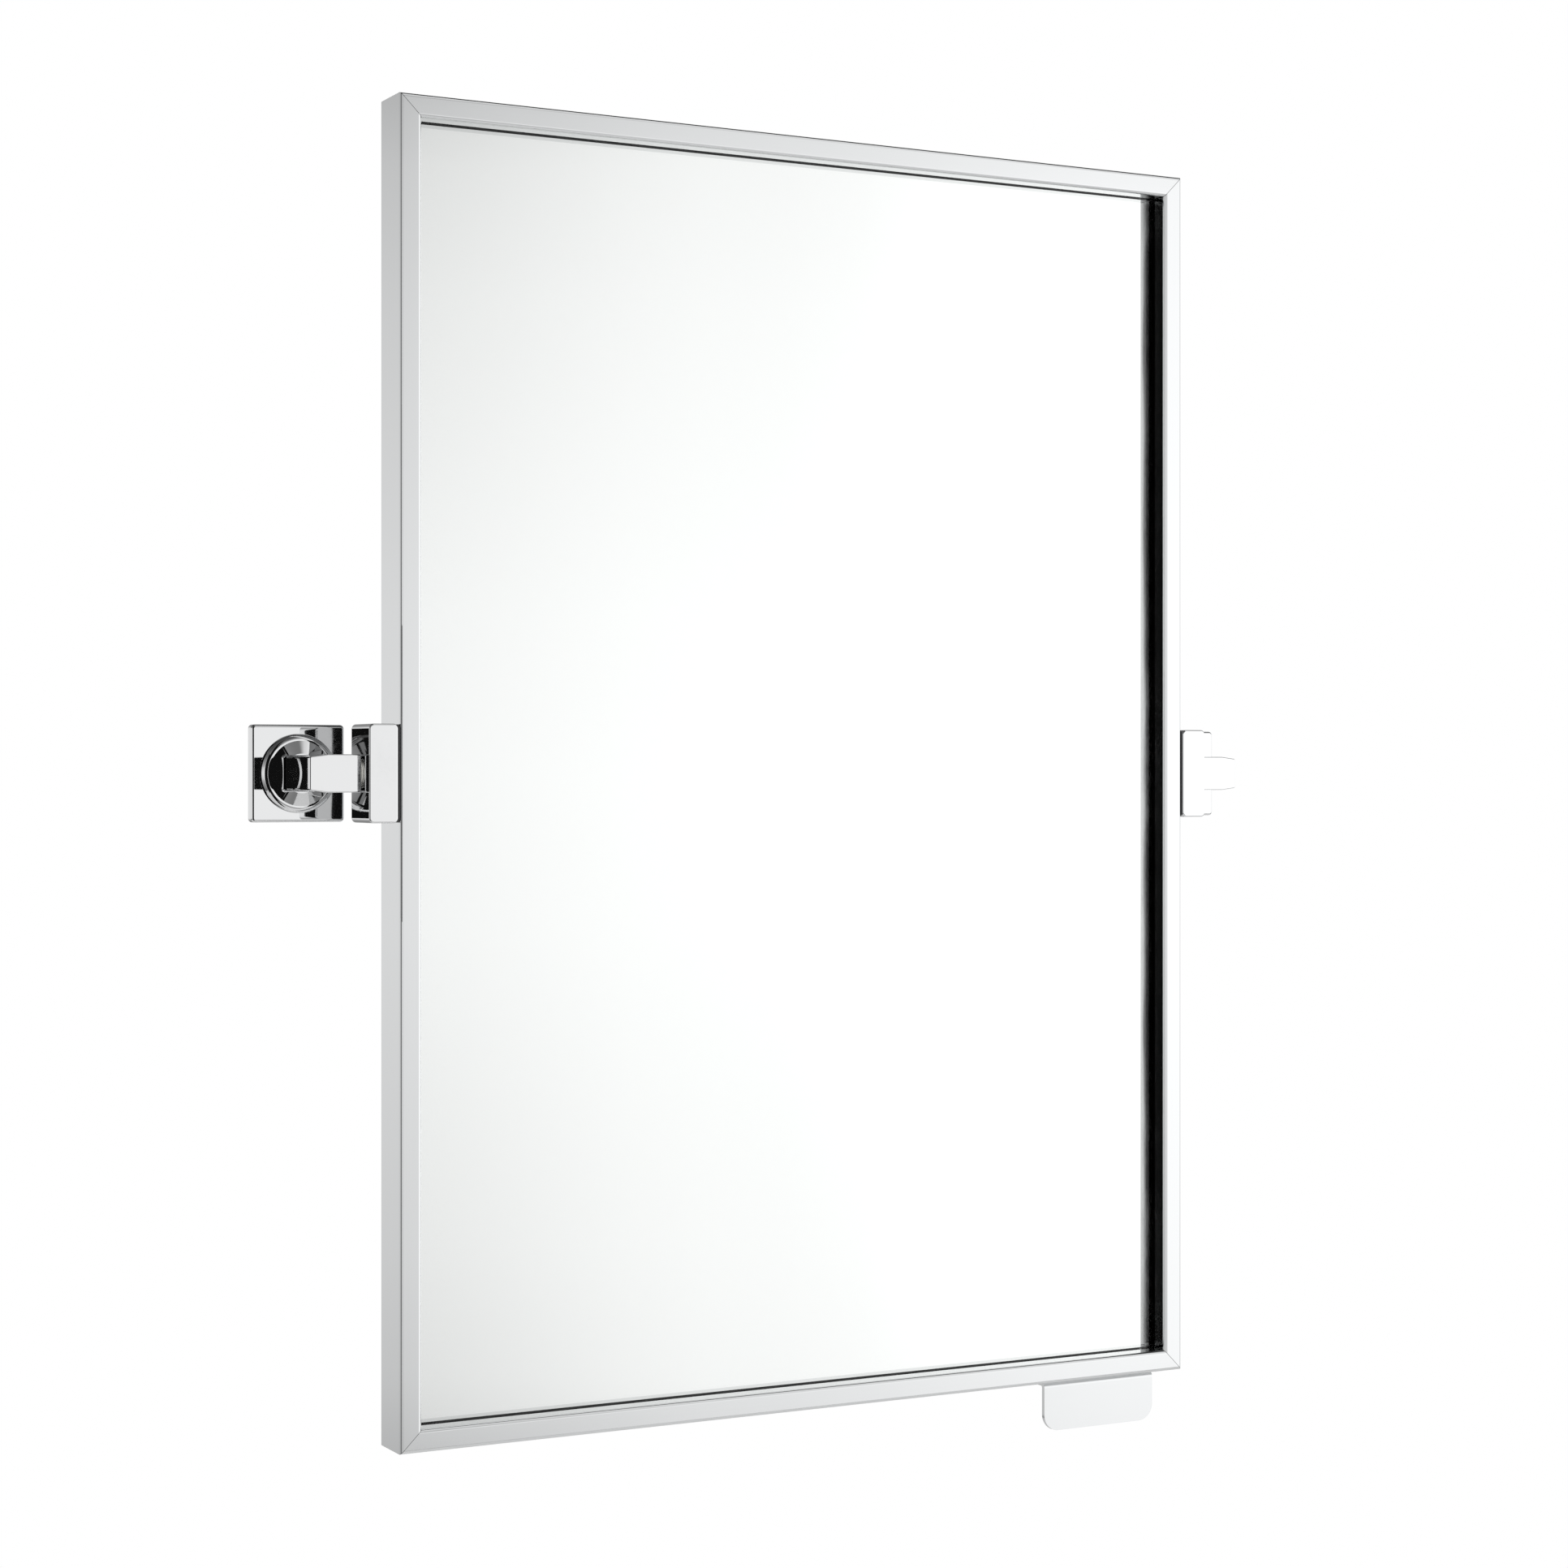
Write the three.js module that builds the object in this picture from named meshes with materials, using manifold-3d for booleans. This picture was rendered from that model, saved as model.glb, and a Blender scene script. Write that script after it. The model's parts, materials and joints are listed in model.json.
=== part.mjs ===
// A rectangular wall mirror in a mitred metal frame, carried at mid-height by a bracket on each side.
// The framed glass tilts on a horizontal axis through the two pivot blocks.
//
// Millimetres. +X along the mirror's width, +Y into the wall, +Z up. The origin lies on the wall,
// midway between the two brackets, at the height of the tilt axis.

import * as THREE from "three";
import { mergeVertices } from "three/addons/utils/BufferGeometryUtils.js";
import Module from "manifold-3d";

// Clearances.
const SEAT = 0.3; // between pieces that rest on each other
const RUNNING = 0.15; // between pieces that turn on each other
const HOLE_ROOM = 0.4; // a clearance hole's radius over its screw's
const THREAD_ROOM = 0.2; // a tapped hole's radius over its screw's

// The frame: one roll-formed section, mitred at the corners.
const FRAME_WIDTH = 488;
const FRAME_HEIGHT = 700;
const FACE_WIDTH = 12;
const RECESS_DEPTH = 10;
const FRAME_WALL = 1.5;
const FRAME_EDGE_RADIUS = 2;
const BACK_LIP_WIDTH = 11;
const RIB_REACH = 4;
const RIB_THICKNESS = 1.2;

// What the frame holds, from the front to the back.
const GLASS_THICKNESS = 5;
const GLASS_ARRIS = 0.5;
const GLASS_CORNER_RADIUS = 2;
const GLASS_EDGE_ROOM = 1.5;
const BOARD_THICKNESS = 2.4;
const BACK_PANEL_THICKNESS = 0.6;

// Corner keys and their screws.
const KEY_ARM = 30;
const KEY_SCREW_INSET = 20;
const KEY_SCREW_RADIUS = 1.6;
const KEY_SCREW_HEAD_RADIUS = 3.2;
const KEY_SCREW_HEAD_HEIGHT = 1.8;

// The tab under the bottom rail that a hand tilts the mirror by.
const TAB_WIDTH = 75;
const TAB_DROP = 28.4;
const TAB_THICKNESS = 2.5;
const TAB_CORNER_RADIUS = 9.5;
const TAB_BEND_RADIUS = 3.5;
const TAB_SETBACK = 6.5;
const TAB_FLANGE_MARGIN = 0.6;
const TAB_SCREW_SPACING = 24;
const TAB_SCREW_RADIUS = 1.8;
const TAB_SCREW_HEAD_RADIUS = 3.2;
const TAB_SCREW_HEAD_HEIGHT = 1.8;
const NUT_PLATE_MARGIN = 6; // from a screw to the nut plate's end
const NUT_PLATE_THICKNESS = 4;
const NUT_PLATE_ROOM = 4.2; // from the corner key to the nut plate

// The pivot block on the frame's side and the pad under it.
const BLOCK_WIDTH = 15.8;
const BLOCK_HEIGHT = 51;
const BLOCK_DEPTH = 27;
const BLOCK_WALL = 5;
const BLOCK_CORNER_RADIUS = 2.5;
const BLOCK_EDGE = 0.9;
const BLOCK_SCREW_OFFSET = 17;
const BLOCK_SCREW_RADIUS = 1.7;
const BLOCK_SCREW_HEAD_RADIUS = 2.5;
const BLOCK_SCREW_HEAD_HEIGHT = 2;
const BLOCK_SCREW_BITE = 9;
const BLOCK_PAD_THICKNESS = 0.4;
const BLOCK_PAD_INSET = 0.3;

// The arm: a post out of the wall and a short arm towards the mirror, one casting.
const ARM_SETBACK = 9.2;
const ARM_DEPTH = 14;
const ARM_HEIGHT = 19.6;
const ARM_TAPER_LENGTH = 9.5;
const ARM_EDGE = 0.8;
const ARM_CORNER_RADIUS = 1.2;
const POST_WIDTH = 19;
const POST_HEIGHT = 17.2;
const POST_OFFSET = 36; // from the frame's side to the post's middle

// The pin and the friction stack on it.
const PIN_SHOULDER_RADIUS = 4.5;
const PIN_THREAD_RADIUS = 2.9;
const PIN_ROOT_RADIUS = 4;
const PIN_ROOT_LENGTH = 16;
const PIN_SCREW_RADIUS = 2;
const BUSH_WALL = 0.9;
const BUSH_FLANGE_RADIUS = 7.5;
const BUSH_FLANGE_THICKNESS = 0.6;
const WASHER_RADIUS = 6.6;
const FRICTION_WASHER_THICKNESS = 1;
const SPRING_WASHER_THICKNESS = 0.6;
const SPRING_WASHER_RISE = 0.8;
const NUT_ACROSS_FLATS = 10;
const NUT_HEIGHT = 4.5;
const SOCKET_ROOM = 1; // around the washers and the nut, for a box spanner

// On the wall.
const WALL_GAP = 32; // from the frame's back to the wall
const PLATE_SIZE = 51;
const PLATE_WALL = 1.5;
const PLATE_CORNER_RADIUS = 2.2;
const PLATE_EDGE = 0.8;
const COLLAR_RADIUS = 20.7;
const COLLAR_THICKNESS = 3.5;
const COLLAR_RIM_RADIUS = 3;
const COLLAR_NECK_HEIGHT = 2.5;
const COLLAR_NECK_LIP = 0.5;
const WALL_BRACKET_THICKNESS = 3;
const WALL_BRACKET_ROOM = 2; // around it, inside the cover plate
const WALL_BRACKET_FRONT_ROOM = 1; // between its front and the cover plate
const WALL_SCREW_MARGIN = 7; // from a wall screw to the bracket's edge
const WALL_HOLE_RADIUS = 2.4;
const COUNTERSINK_RADIUS = 4.6;
const SPIGOT_RADIUS = 5;
const SPIGOT_LENGTH = 25;
const SPIGOT_GROOVE_DEPTH = 0.6;
const SPIGOT_GROOVE_WIDTH = 6;
const ARM_SCREW_RADIUS = 2.5;

// Fineness.
const ROUND_STEPS = 36; // around the collar
const PIN_STEPS = 24; // around the pin, its stack and their bores
const SCREW_STEPS = 16; // around a screw or its hole
const CORNER_STEPS = 4; // around a rounded corner
const EDGE_STEPS = 2; // across a rounded edge
const COVE_STEPS = 4; // up the collar's cove
const THROUGH = 1; // how far a cutting tool runs past the face that it opens
const SAME_POINT = 0.001; // outline points nearer than this are one

// Worked out from the sizes above. Depths count back from the frame's front plane.
const GLASS_AT = RECESS_DEPTH + SEAT;
const BOARD_AT = GLASS_AT + GLASS_THICKNESS + SEAT;
const BACK_PANEL_AT = BOARD_AT + BOARD_THICKNESS + SEAT;
const RIB_AT = BACK_PANEL_AT + BACK_PANEL_THICKNESS + SEAT;
const CHANNEL_AT = RIB_AT + RIB_THICKNESS;
const CHANNEL_END = CHANNEL_AT + 2 * (BLOCK_SCREW_HEAD_RADIUS + SEAT);
const FRAME_DEPTH = CHANNEL_END + FRAME_WALL;
const FRONT = -(FRAME_DEPTH + WALL_GAP);
const CHANNEL_MIDDLE = (CHANNEL_AT + CHANNEL_END) / 2;
const KEY_THICKNESS = CHANNEL_END - CHANNEL_AT - 2 * SEAT;
const KEY_WIDTH = BACK_LIP_WIDTH - FRAME_WALL - 2 * SEAT;
const KEY_MIDDLE = FRAME_WALL + SEAT + KEY_WIDTH / 2;
const KEY_END = FRAME_WALL + SEAT + KEY_ARM;
const NUT_PLATE_LENGTH = TAB_SCREW_SPACING + 2 * NUT_PLATE_MARGIN;
const TAB_X = FRAME_WIDTH / 2 - KEY_END - NUT_PLATE_ROOM - NUT_PLATE_LENGTH / 2;
const BLOCK_GAP = BLOCK_PAD_THICKNESS + 2 * SEAT;
const BLOCK_OUTER = BLOCK_GAP + BLOCK_WIDTH;
const ARM_GAP = BUSH_FLANGE_THICKNESS + 2 * RUNNING;
const ARM_START = BLOCK_OUTER + ARM_GAP;
const ARM_END = POST_OFFSET + POST_WIDTH / 2;
const AXIS_DEPTH = ARM_SETBACK + ARM_DEPTH / 2;
const AXIS_Y = FRONT + AXIS_DEPTH;
const POST_HEEL = -(WALL_BRACKET_THICKNESS + SEAT);
const PLATE_DEPTH = WALL_BRACKET_THICKNESS + WALL_BRACKET_FRONT_ROOM + PLATE_WALL;
const WALL_BRACKET_SIZE = PLATE_SIZE - 2 * (PLATE_WALL + WALL_BRACKET_ROOM);
const WALL_SCREW_SPACING = WALL_BRACKET_SIZE - 2 * WALL_SCREW_MARGIN;
const BUSH_BORE = PIN_SHOULDER_RADIUS + RUNNING;
const BUSH_RADIUS = BUSH_BORE + BUSH_WALL;
const WASHER_BORE = PIN_THREAD_RADIUS + SEAT;
const NUT_RADIUS = NUT_ACROSS_FLATS / Math.sqrt(3);
const SOCKET_RADIUS = Math.max(WASHER_RADIUS, NUT_RADIUS) + SOCKET_ROOM;
const ARM_SCREW_Y = POST_HEEL - SPIGOT_LENGTH / 2;

const wasm = await Module();
wasm.setup();

// --- Solids -----------------------------------------------------------------------------------

// A closed geometry as a solid that can be cut and joined.
function solid(geometry) {
  const bare = geometry.clone();
  bare.deleteAttribute("normal");
  bare.deleteAttribute("uv");
  const merged = mergeVertices(bare);
  const mesh = new wasm.Mesh({
    numProp: 3,
    vertProperties: merged.attributes.position.array,
    triVerts: new Uint32Array(merged.index.array),
  });
  return new wasm.Manifold(mesh);
}

// A solid as a geometry with flat faces.
function geometryOf(made) {
  const { vertProperties, triVerts } = made.getMesh();
  const indexed = new THREE.BufferGeometry();
  indexed.setAttribute("position", new THREE.BufferAttribute(vertProperties, 3));
  indexed.setIndex(new THREE.BufferAttribute(triVerts, 1));
  const faceted = indexed.toNonIndexed();
  faceted.computeVertexNormals();
  return faceted;
}

function cut(base, ...tools) {
  const made = tools.reduce((rest, tool) => rest.subtract(solid(tool)), solid(base));
  return geometryOf(made);
}

function join(first, ...others) {
  const made = others.reduce((whole, other) => whole.add(solid(other)), solid(first));
  return geometryOf(made);
}

function common(first, second) {
  return geometryOf(solid(first).intersect(solid(second)));
}

// --- Outlines and forms -----------------------------------------------------------------------

// A closed outline through corners [x, y], each rounded by the same radius.
function roundedOutline(corners, radius) {
  const outline = new THREE.Shape();
  const points = corners.map(([x, y]) => new THREE.Vector2(x, y));
  points.forEach((corner, i) => {
    const before = points.at(i - 1).clone().sub(corner);
    const after = points[(i + 1) % points.length].clone().sub(corner);
    const start = before.setLength(Math.min(radius, before.length() / 2)).add(corner);
    const end = after.setLength(Math.min(radius, after.length() / 2)).add(corner);
    if (i === 0) outline.moveTo(start.x, start.y);
    else outline.lineTo(start.x, start.y);
    outline.quadraticCurveTo(corner.x, corner.y, end.x, end.y);
  });
  outline.closePath();
  return outline;
}

function rectangle(width, height, radius) {
  const x = width / 2;
  const y = height / 2;
  const corners = [
    [-x, -y],
    [x, -y],
    [x, y],
    [-x, y],
  ];
  return roundedOutline(corners, radius);
}

// An outline given a thickness along local +Z, with both its rims rounded by `edge`.
function slab(outline, thickness, edge = 0) {
  const geometry = new THREE.ExtrudeGeometry(outline, {
    depth: thickness - 2 * edge,
    curveSegments: CORNER_STEPS,
    steps: 1,
    bevelEnabled: edge > 0,
    bevelThickness: edge,
    bevelSize: edge,
    bevelOffset: -edge,
    bevelSegments: EDGE_STEPS,
  });
  return geometry.translate(0, 0, edge);
}

// Turns a slab to face the room: local Y goes up, and the slab grows from y = back to the front.
function facing(geometry, back) {
  return geometry.rotateX(Math.PI / 2).translate(0, back, 0);
}

// A piece turned about local Y from a profile of [radius, height], which starts and ends on the
// axis or closes on itself.
function turned(profile, steps) {
  const points = profile.map(([radius, height]) => new THREE.Vector2(radius, height));
  return new THREE.LatheGeometry(points, steps);
}

// A closed ring profile: from bore to rim, between two heights.
function ring(bore, rim, from, to, steps) {
  const profile = [
    [bore, from],
    [rim, from],
    [rim, to],
    [bore, to],
    [bore, from],
  ];
  return turned(profile, steps);
}

// A round bar along local Y between two heights.
function rod(radius, from, to, steps = SCREW_STEPS) {
  const length = to - from;
  const geometry = new THREE.CylinderGeometry(radius, radius, length, steps);
  return geometry.translate(0, from + length / 2, 0);
}

// Turns local +Y to +X (away from the mirror's middle, in a side group).
function alongX(geometry) {
  return geometry.rotateZ(-Math.PI / 2);
}

// Turns local +Y to +Z.
function upright(geometry) {
  return geometry.rotateX(Math.PI / 2);
}

// Convex outlines of equal point counts, stacked along local Z at given heights.
function loft(outlines, heights) {
  const rings = outlines.map((outline) => {
    const points = outline.getPoints(CORNER_STEPS);
    return points.filter((p, i) => i === 0 || p.distanceTo(points[i - 1]) > SAME_POINT);
  });
  const count = rings[0].length - 1;
  const at = (level, i) => level * count + (i % count);
  const positions = rings.flatMap((points, level) =>
    points.slice(0, count).flatMap((p) => [p.x, p.y, heights[level]]),
  );
  const faces = [];
  for (let i = 1; i < count - 1; i += 1) {
    const top = rings.length - 1;
    faces.push(at(0, 0), at(0, i + 1), at(0, i));
    faces.push(at(top, 0), at(top, i), at(top, i + 1));
  }
  for (let level = 0; level < rings.length - 1; level += 1) {
    for (let i = 0; i < count; i += 1) {
      faces.push(at(level, i), at(level, i + 1), at(level + 1, i + 1));
      faces.push(at(level, i), at(level + 1, i + 1), at(level + 1, i));
    }
  }
  const geometry = new THREE.BufferGeometry();
  geometry.setAttribute("position", new THREE.Float32BufferAttribute(positions, 3));
  geometry.setIndex(faces);
  return geometry;
}

// A pan-head screw along local +Y: the head ends at 0 and the shank runs on from there.
function panScrew(radius, length, headRadius, headHeight) {
  const crown = headHeight / 2;
  const profile = [
    [0, -headHeight],
    [headRadius - crown, -headHeight],
    [headRadius, -headHeight + crown],
    [headRadius, 0],
    [radius, 0],
    [radius, length],
    [0, length],
  ];
  return turned(profile, SCREW_STEPS);
}

// --- Materials and meshes ---------------------------------------------------------------------

const LOOKS = {
  brightSteel: { color: 0xc9cbcd, metalness: 1, roughness: 0.15 },
  chrome: { color: 0xdfe2e4, metalness: 1, roughness: 0.05 },
  silvering: { color: 0xeef1f2, metalness: 1, roughness: 0.01 },
  zincPlated: { color: 0xa9adb2, metalness: 1, roughness: 0.45 },
  nylon: { color: 0xe4e2da, metalness: 0, roughness: 0.55 },
  fibre: { color: 0x6b3a26, metalness: 0, roughness: 0.8 },
  hardboard: { color: 0x6f4a30, metalness: 0, roughness: 0.8 },
  blackNylon: { color: 0x151515, metalness: 0, roughness: 0.6 },
};

function piece(name, geometry, look) {
  const mesh = new THREE.Mesh(geometry, new THREE.MeshStandardMaterial(look));
  mesh.name = name;
  return mesh;
}

// --- The frame --------------------------------------------------------------------------------

// The section: x runs in from the outer edge, y back from the front plane. From the face it bends in
// along the recess. Behind the glass a rib and the back lip make the channel for the corner keys.
function frameSection() {
  const radius = FRAME_EDGE_RADIUS;
  const bend = FACE_WIDTH - radius;
  const lip = FACE_WIDTH - FRAME_WALL;
  const section = new THREE.Shape();
  section.moveTo(0, radius);
  section.lineTo(0, FRAME_DEPTH);
  section.lineTo(BACK_LIP_WIDTH, FRAME_DEPTH);
  section.lineTo(BACK_LIP_WIDTH, CHANNEL_END);
  section.lineTo(FRAME_WALL, CHANNEL_END);
  section.lineTo(FRAME_WALL, CHANNEL_AT);
  section.lineTo(FRAME_WALL + RIB_REACH, CHANNEL_AT);
  section.lineTo(FRAME_WALL + RIB_REACH, RIB_AT);
  section.lineTo(FRAME_WALL, RIB_AT);
  section.lineTo(FRAME_WALL, radius);
  section.lineTo(radius, FRAME_WALL);
  section.lineTo(bend, FRAME_WALL);
  section.lineTo(lip, radius);
  section.lineTo(lip, RECESS_DEPTH);
  section.lineTo(FACE_WIDTH, RECESS_DEPTH);
  section.absarc(bend, radius, radius, 0, -Math.PI / 2, true);
  section.lineTo(radius, 0);
  section.absarc(radius, radius, radius, -Math.PI / 2, -Math.PI, true);
  return section;
}

// A member lies along the bottom of a frame `across` high, mitred at both ends. Holes for the key
// screws go through its back lip.
function frameMember(length, across, extraHoles = []) {
  const blank = new THREE.ExtrudeGeometry(frameSection(), {
    depth: length,
    curveSegments: CORNER_STEPS,
    bevelEnabled: false,
  });
  const position = blank.attributes.position;
  for (let i = 0; i < position.count; i += 1) {
    const inward = position.getX(i);
    const along = position.getZ(i);
    position.setZ(i, along === 0 ? inward : length - inward);
  }
  const axes = new THREE.Matrix4().makeBasis(
    new THREE.Vector3(0, 0, 1),
    new THREE.Vector3(0, 1, 0),
    new THREE.Vector3(-1, 0, 0),
  );
  blank.applyMatrix4(axes).translate(length / 2, FRONT, -across / 2);
  const keyHoles = [-1, 1].map((end) => {
    const from = FRONT + CHANNEL_END - THROUGH;
    const hole = rod(KEY_SCREW_RADIUS + HOLE_ROOM, from, FRONT + FRAME_DEPTH + THROUGH);
    return hole.translate(end * (length / 2 - KEY_SCREW_INSET), 0, KEY_MIDDLE - across / 2);
  });
  return cut(blank, ...keyHoles, ...extraHoles);
}

// Holes through the stile's side for the block's screws, where the stile lies along the bottom.
function blockScrewHoles(across) {
  return [-1, 1].map((end) => {
    const hole = rod(BLOCK_SCREW_RADIUS + HOLE_ROOM, -THROUGH, FRAME_WALL + THROUGH);
    return upright(hole).translate(end * BLOCK_SCREW_OFFSET, FRONT + CHANNEL_MIDDLE, -across / 2);
  });
}

function tabScrewHoles() {
  return tabScrewPlaces().map((x) => {
    const hole = rod(TAB_SCREW_RADIUS + HOLE_ROOM, -THROUGH, FRAME_WALL + THROUGH);
    return upright(hole).translate(x, FRONT + CHANNEL_MIDDLE, -FRAME_HEIGHT / 2);
  });
}

function frameMembers() {
  const group = new THREE.Group();
  const bottom = frameMember(FRAME_WIDTH, FRAME_HEIGHT, tabScrewHoles());
  const top = frameMember(FRAME_WIDTH, FRAME_HEIGHT);
  const stile = frameMember(FRAME_HEIGHT, FRAME_WIDTH, blockScrewHoles(FRAME_WIDTH));
  const members = [
    ["bottom_rail", bottom, 0],
    ["left_stile", stile, Math.PI / 2],
    ["top_rail", top, Math.PI],
    ["right_stile", stile, -Math.PI / 2],
  ];
  members.forEach(([name, geometry, turn]) => {
    const mesh = piece(name, geometry, LOOKS.brightSteel);
    mesh.rotation.y = turn;
    group.add(mesh);
  });
  return group;
}

// --- Corner keys ------------------------------------------------------------------------------

// An L in the channel at the lower left corner, with its arms along +X and +Z from that corner.
function cornerKey() {
  const near = FRAME_WALL + SEAT;
  const far = near + KEY_WIDTH;
  const end = near + KEY_ARM;
  const corners = [
    [near, near],
    [end, near],
    [end, far],
    [far, far],
    [far, end],
    [near, end],
  ];
  const outline = roundedOutline(corners, SEAT);
  const back = FRONT + CHANNEL_END - SEAT;
  const plate = facing(slab(outline, KEY_THICKNESS), back);
  const holes = keyScrewPlaces().map(([x, z]) => {
    const from = back - KEY_THICKNESS - THROUGH;
    return rod(KEY_SCREW_RADIUS + THREAD_ROOM, from, back + THROUGH).translate(x, 0, z);
  });
  return cut(plate, ...holes);
}

// Where a key's two screws stand, from its corner of the frame.
function keyScrewPlaces() {
  return [
    [KEY_SCREW_INSET, KEY_MIDDLE],
    [KEY_MIDDLE, KEY_SCREW_INSET],
  ];
}

// The head lies on the back lip and the shank runs forward through the lip and the key.
function keyScrew() {
  const length = FRAME_WALL + SEAT + KEY_THICKNESS;
  const screw = panScrew(KEY_SCREW_RADIUS, length, KEY_SCREW_HEAD_RADIUS, KEY_SCREW_HEAD_HEIGHT);
  return screw.rotateX(Math.PI).translate(0, FRONT + FRAME_DEPTH + SEAT / 2, 0);
}

// Corners in order round the frame from the lower left one, each turned by a right angle.
function cornerKeys() {
  const group = new THREE.Group();
  const key = cornerKey();
  const screw = keyScrew();
  const places = [
    [-1, -1],
    [-1, 1],
    [1, 1],
    [1, -1],
  ];
  places.forEach(([sideX, sideZ], corner) => {
    const holder = new THREE.Group();
    holder.position.set((sideX * FRAME_WIDTH) / 2, 0, (sideZ * FRAME_HEIGHT) / 2);
    holder.rotation.y = (corner * Math.PI) / 2;
    holder.add(piece(`corner_key_${corner + 1}`, key, LOOKS.zincPlated));
    keyScrewPlaces().forEach(([x, z], i) => {
      const mesh = piece(`key_screw_${2 * corner + i + 1}`, screw, LOOKS.zincPlated);
      mesh.position.set(x, 0, z);
      holder.add(mesh);
    });
    group.add(holder);
  });
  return group;
}

// --- Glass and back ---------------------------------------------------------------------------

function sheet(thickness, depthAt, edge) {
  const margin = 2 * (FRAME_WALL + GLASS_EDGE_ROOM);
  const outline = rectangle(FRAME_WIDTH - margin, FRAME_HEIGHT - margin, GLASS_CORNER_RADIUS);
  return facing(slab(outline, thickness, edge), FRONT + depthAt + thickness);
}

function glassAndBack() {
  const group = new THREE.Group();
  group.add(piece("mirror_glass", sheet(GLASS_THICKNESS, GLASS_AT, GLASS_ARRIS), LOOKS.silvering));
  group.add(piece("backing_board", sheet(BOARD_THICKNESS, BOARD_AT, 0), LOOKS.hardboard));
  group.add(piece("back_panel", sheet(BACK_PANEL_THICKNESS, BACK_PANEL_AT, 0), LOOKS.zincPlated));
  return group;
}

// --- Tilt tab ---------------------------------------------------------------------------------

function tabScrewPlaces() {
  return [-1, 1].map((side) => TAB_X + (side * TAB_SCREW_SPACING) / 2);
}

// The bent sheet from the side: x runs back from its face, y up to the rail's underside.
function tabSection() {
  const flange = FRAME_DEPTH - TAB_SETBACK - TAB_FLANGE_MARGIN;
  const inner = TAB_BEND_RADIUS - TAB_THICKNESS;
  const bend = TAB_BEND_RADIUS;
  const section = new THREE.Shape();
  section.moveTo(0, -TAB_DROP);
  section.lineTo(TAB_THICKNESS, -TAB_DROP);
  section.lineTo(TAB_THICKNESS, -bend);
  section.absarc(bend, -bend, inner, Math.PI, Math.PI / 2, true);
  section.lineTo(flange, -TAB_THICKNESS);
  section.lineTo(flange, 0);
  section.lineTo(bend, 0);
  section.absarc(bend, -bend, bend, Math.PI / 2, Math.PI, false);
  section.closePath();
  return section;
}

// The tab from the front: its lower corners are round.
function tabOutline() {
  const half = TAB_WIDTH / 2;
  const outline = new THREE.Shape();
  outline.moveTo(-half, THROUGH);
  outline.lineTo(-half, TAB_CORNER_RADIUS - TAB_DROP);
  const centreX = half - TAB_CORNER_RADIUS;
  const centreY = TAB_CORNER_RADIUS - TAB_DROP;
  outline.absarc(-centreX, centreY, TAB_CORNER_RADIUS, Math.PI, 1.5 * Math.PI, false);
  outline.absarc(centreX, centreY, TAB_CORNER_RADIUS, 1.5 * Math.PI, 2 * Math.PI, false);
  outline.lineTo(half, THROUGH);
  outline.closePath();
  return outline;
}

function tiltTab() {
  const group = new THREE.Group();
  const underside = -FRAME_HEIGHT / 2 - SEAT;
  const bent = slab(tabSection(), TAB_WIDTH);
  const axes = new THREE.Matrix4().makeBasis(
    new THREE.Vector3(0, 1, 0),
    new THREE.Vector3(0, 0, 1),
    new THREE.Vector3(1, 0, 0),
  );
  bent.applyMatrix4(axes).translate(-TAB_WIDTH / 2, 0, 0);
  const front = facing(slab(tabOutline(), FRAME_DEPTH), FRAME_DEPTH - THROUGH);
  const place = [TAB_X, FRONT + TAB_SETBACK, underside];
  const rounded = common(bent, front).translate(...place);
  const holes = tabScrewPlaces().map((x) => {
    const hole = upright(rod(TAB_SCREW_RADIUS + HOLE_ROOM, -TAB_THICKNESS - THROUGH, THROUGH));
    return hole.translate(x, FRONT + CHANNEL_MIDDLE, underside);
  });
  group.add(piece("tilt_tab", cut(rounded, ...holes), LOOKS.brightSteel));
  group.add(piece("tab_nut_plate", nutPlate(), LOOKS.zincPlated));
  tabScrewPlaces().forEach((x, i) => {
    const length = TAB_THICKNESS + SEAT + FRAME_WALL + SEAT + NUT_PLATE_THICKNESS;
    const head = TAB_SCREW_HEAD_RADIUS;
    const screw = upright(panScrew(TAB_SCREW_RADIUS, length, head, TAB_SCREW_HEAD_HEIGHT));
    screw.translate(x, FRONT + CHANNEL_MIDDLE, underside - TAB_THICKNESS - SEAT / 2);
    group.add(piece(`tab_screw_${i + 1}`, screw, LOOKS.zincPlated));
  });
  return group;
}

// The tapped plate in the bottom rail's channel.
function nutPlate() {
  const bottom = -FRAME_HEIGHT / 2 + FRAME_WALL + SEAT;
  const outline = rectangle(NUT_PLATE_LENGTH, NUT_PLATE_THICKNESS, SEAT);
  const plate = facing(slab(outline, KEY_THICKNESS), FRONT + CHANNEL_END - SEAT);
  plate.translate(TAB_X, 0, bottom + NUT_PLATE_THICKNESS / 2);
  const holes = tabScrewPlaces().map((x) => {
    const hole = rod(TAB_SCREW_RADIUS + THREAD_ROOM, -THROUGH, NUT_PLATE_THICKNESS + THROUGH);
    return upright(hole).translate(x, FRONT + CHANNEL_MIDDLE, bottom);
  });
  return cut(plate, ...holes);
}

// --- One side ---------------------------------------------------------------------------------
// Side pieces are made for the right. X counts from the frame's side, away from the mirror.

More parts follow.
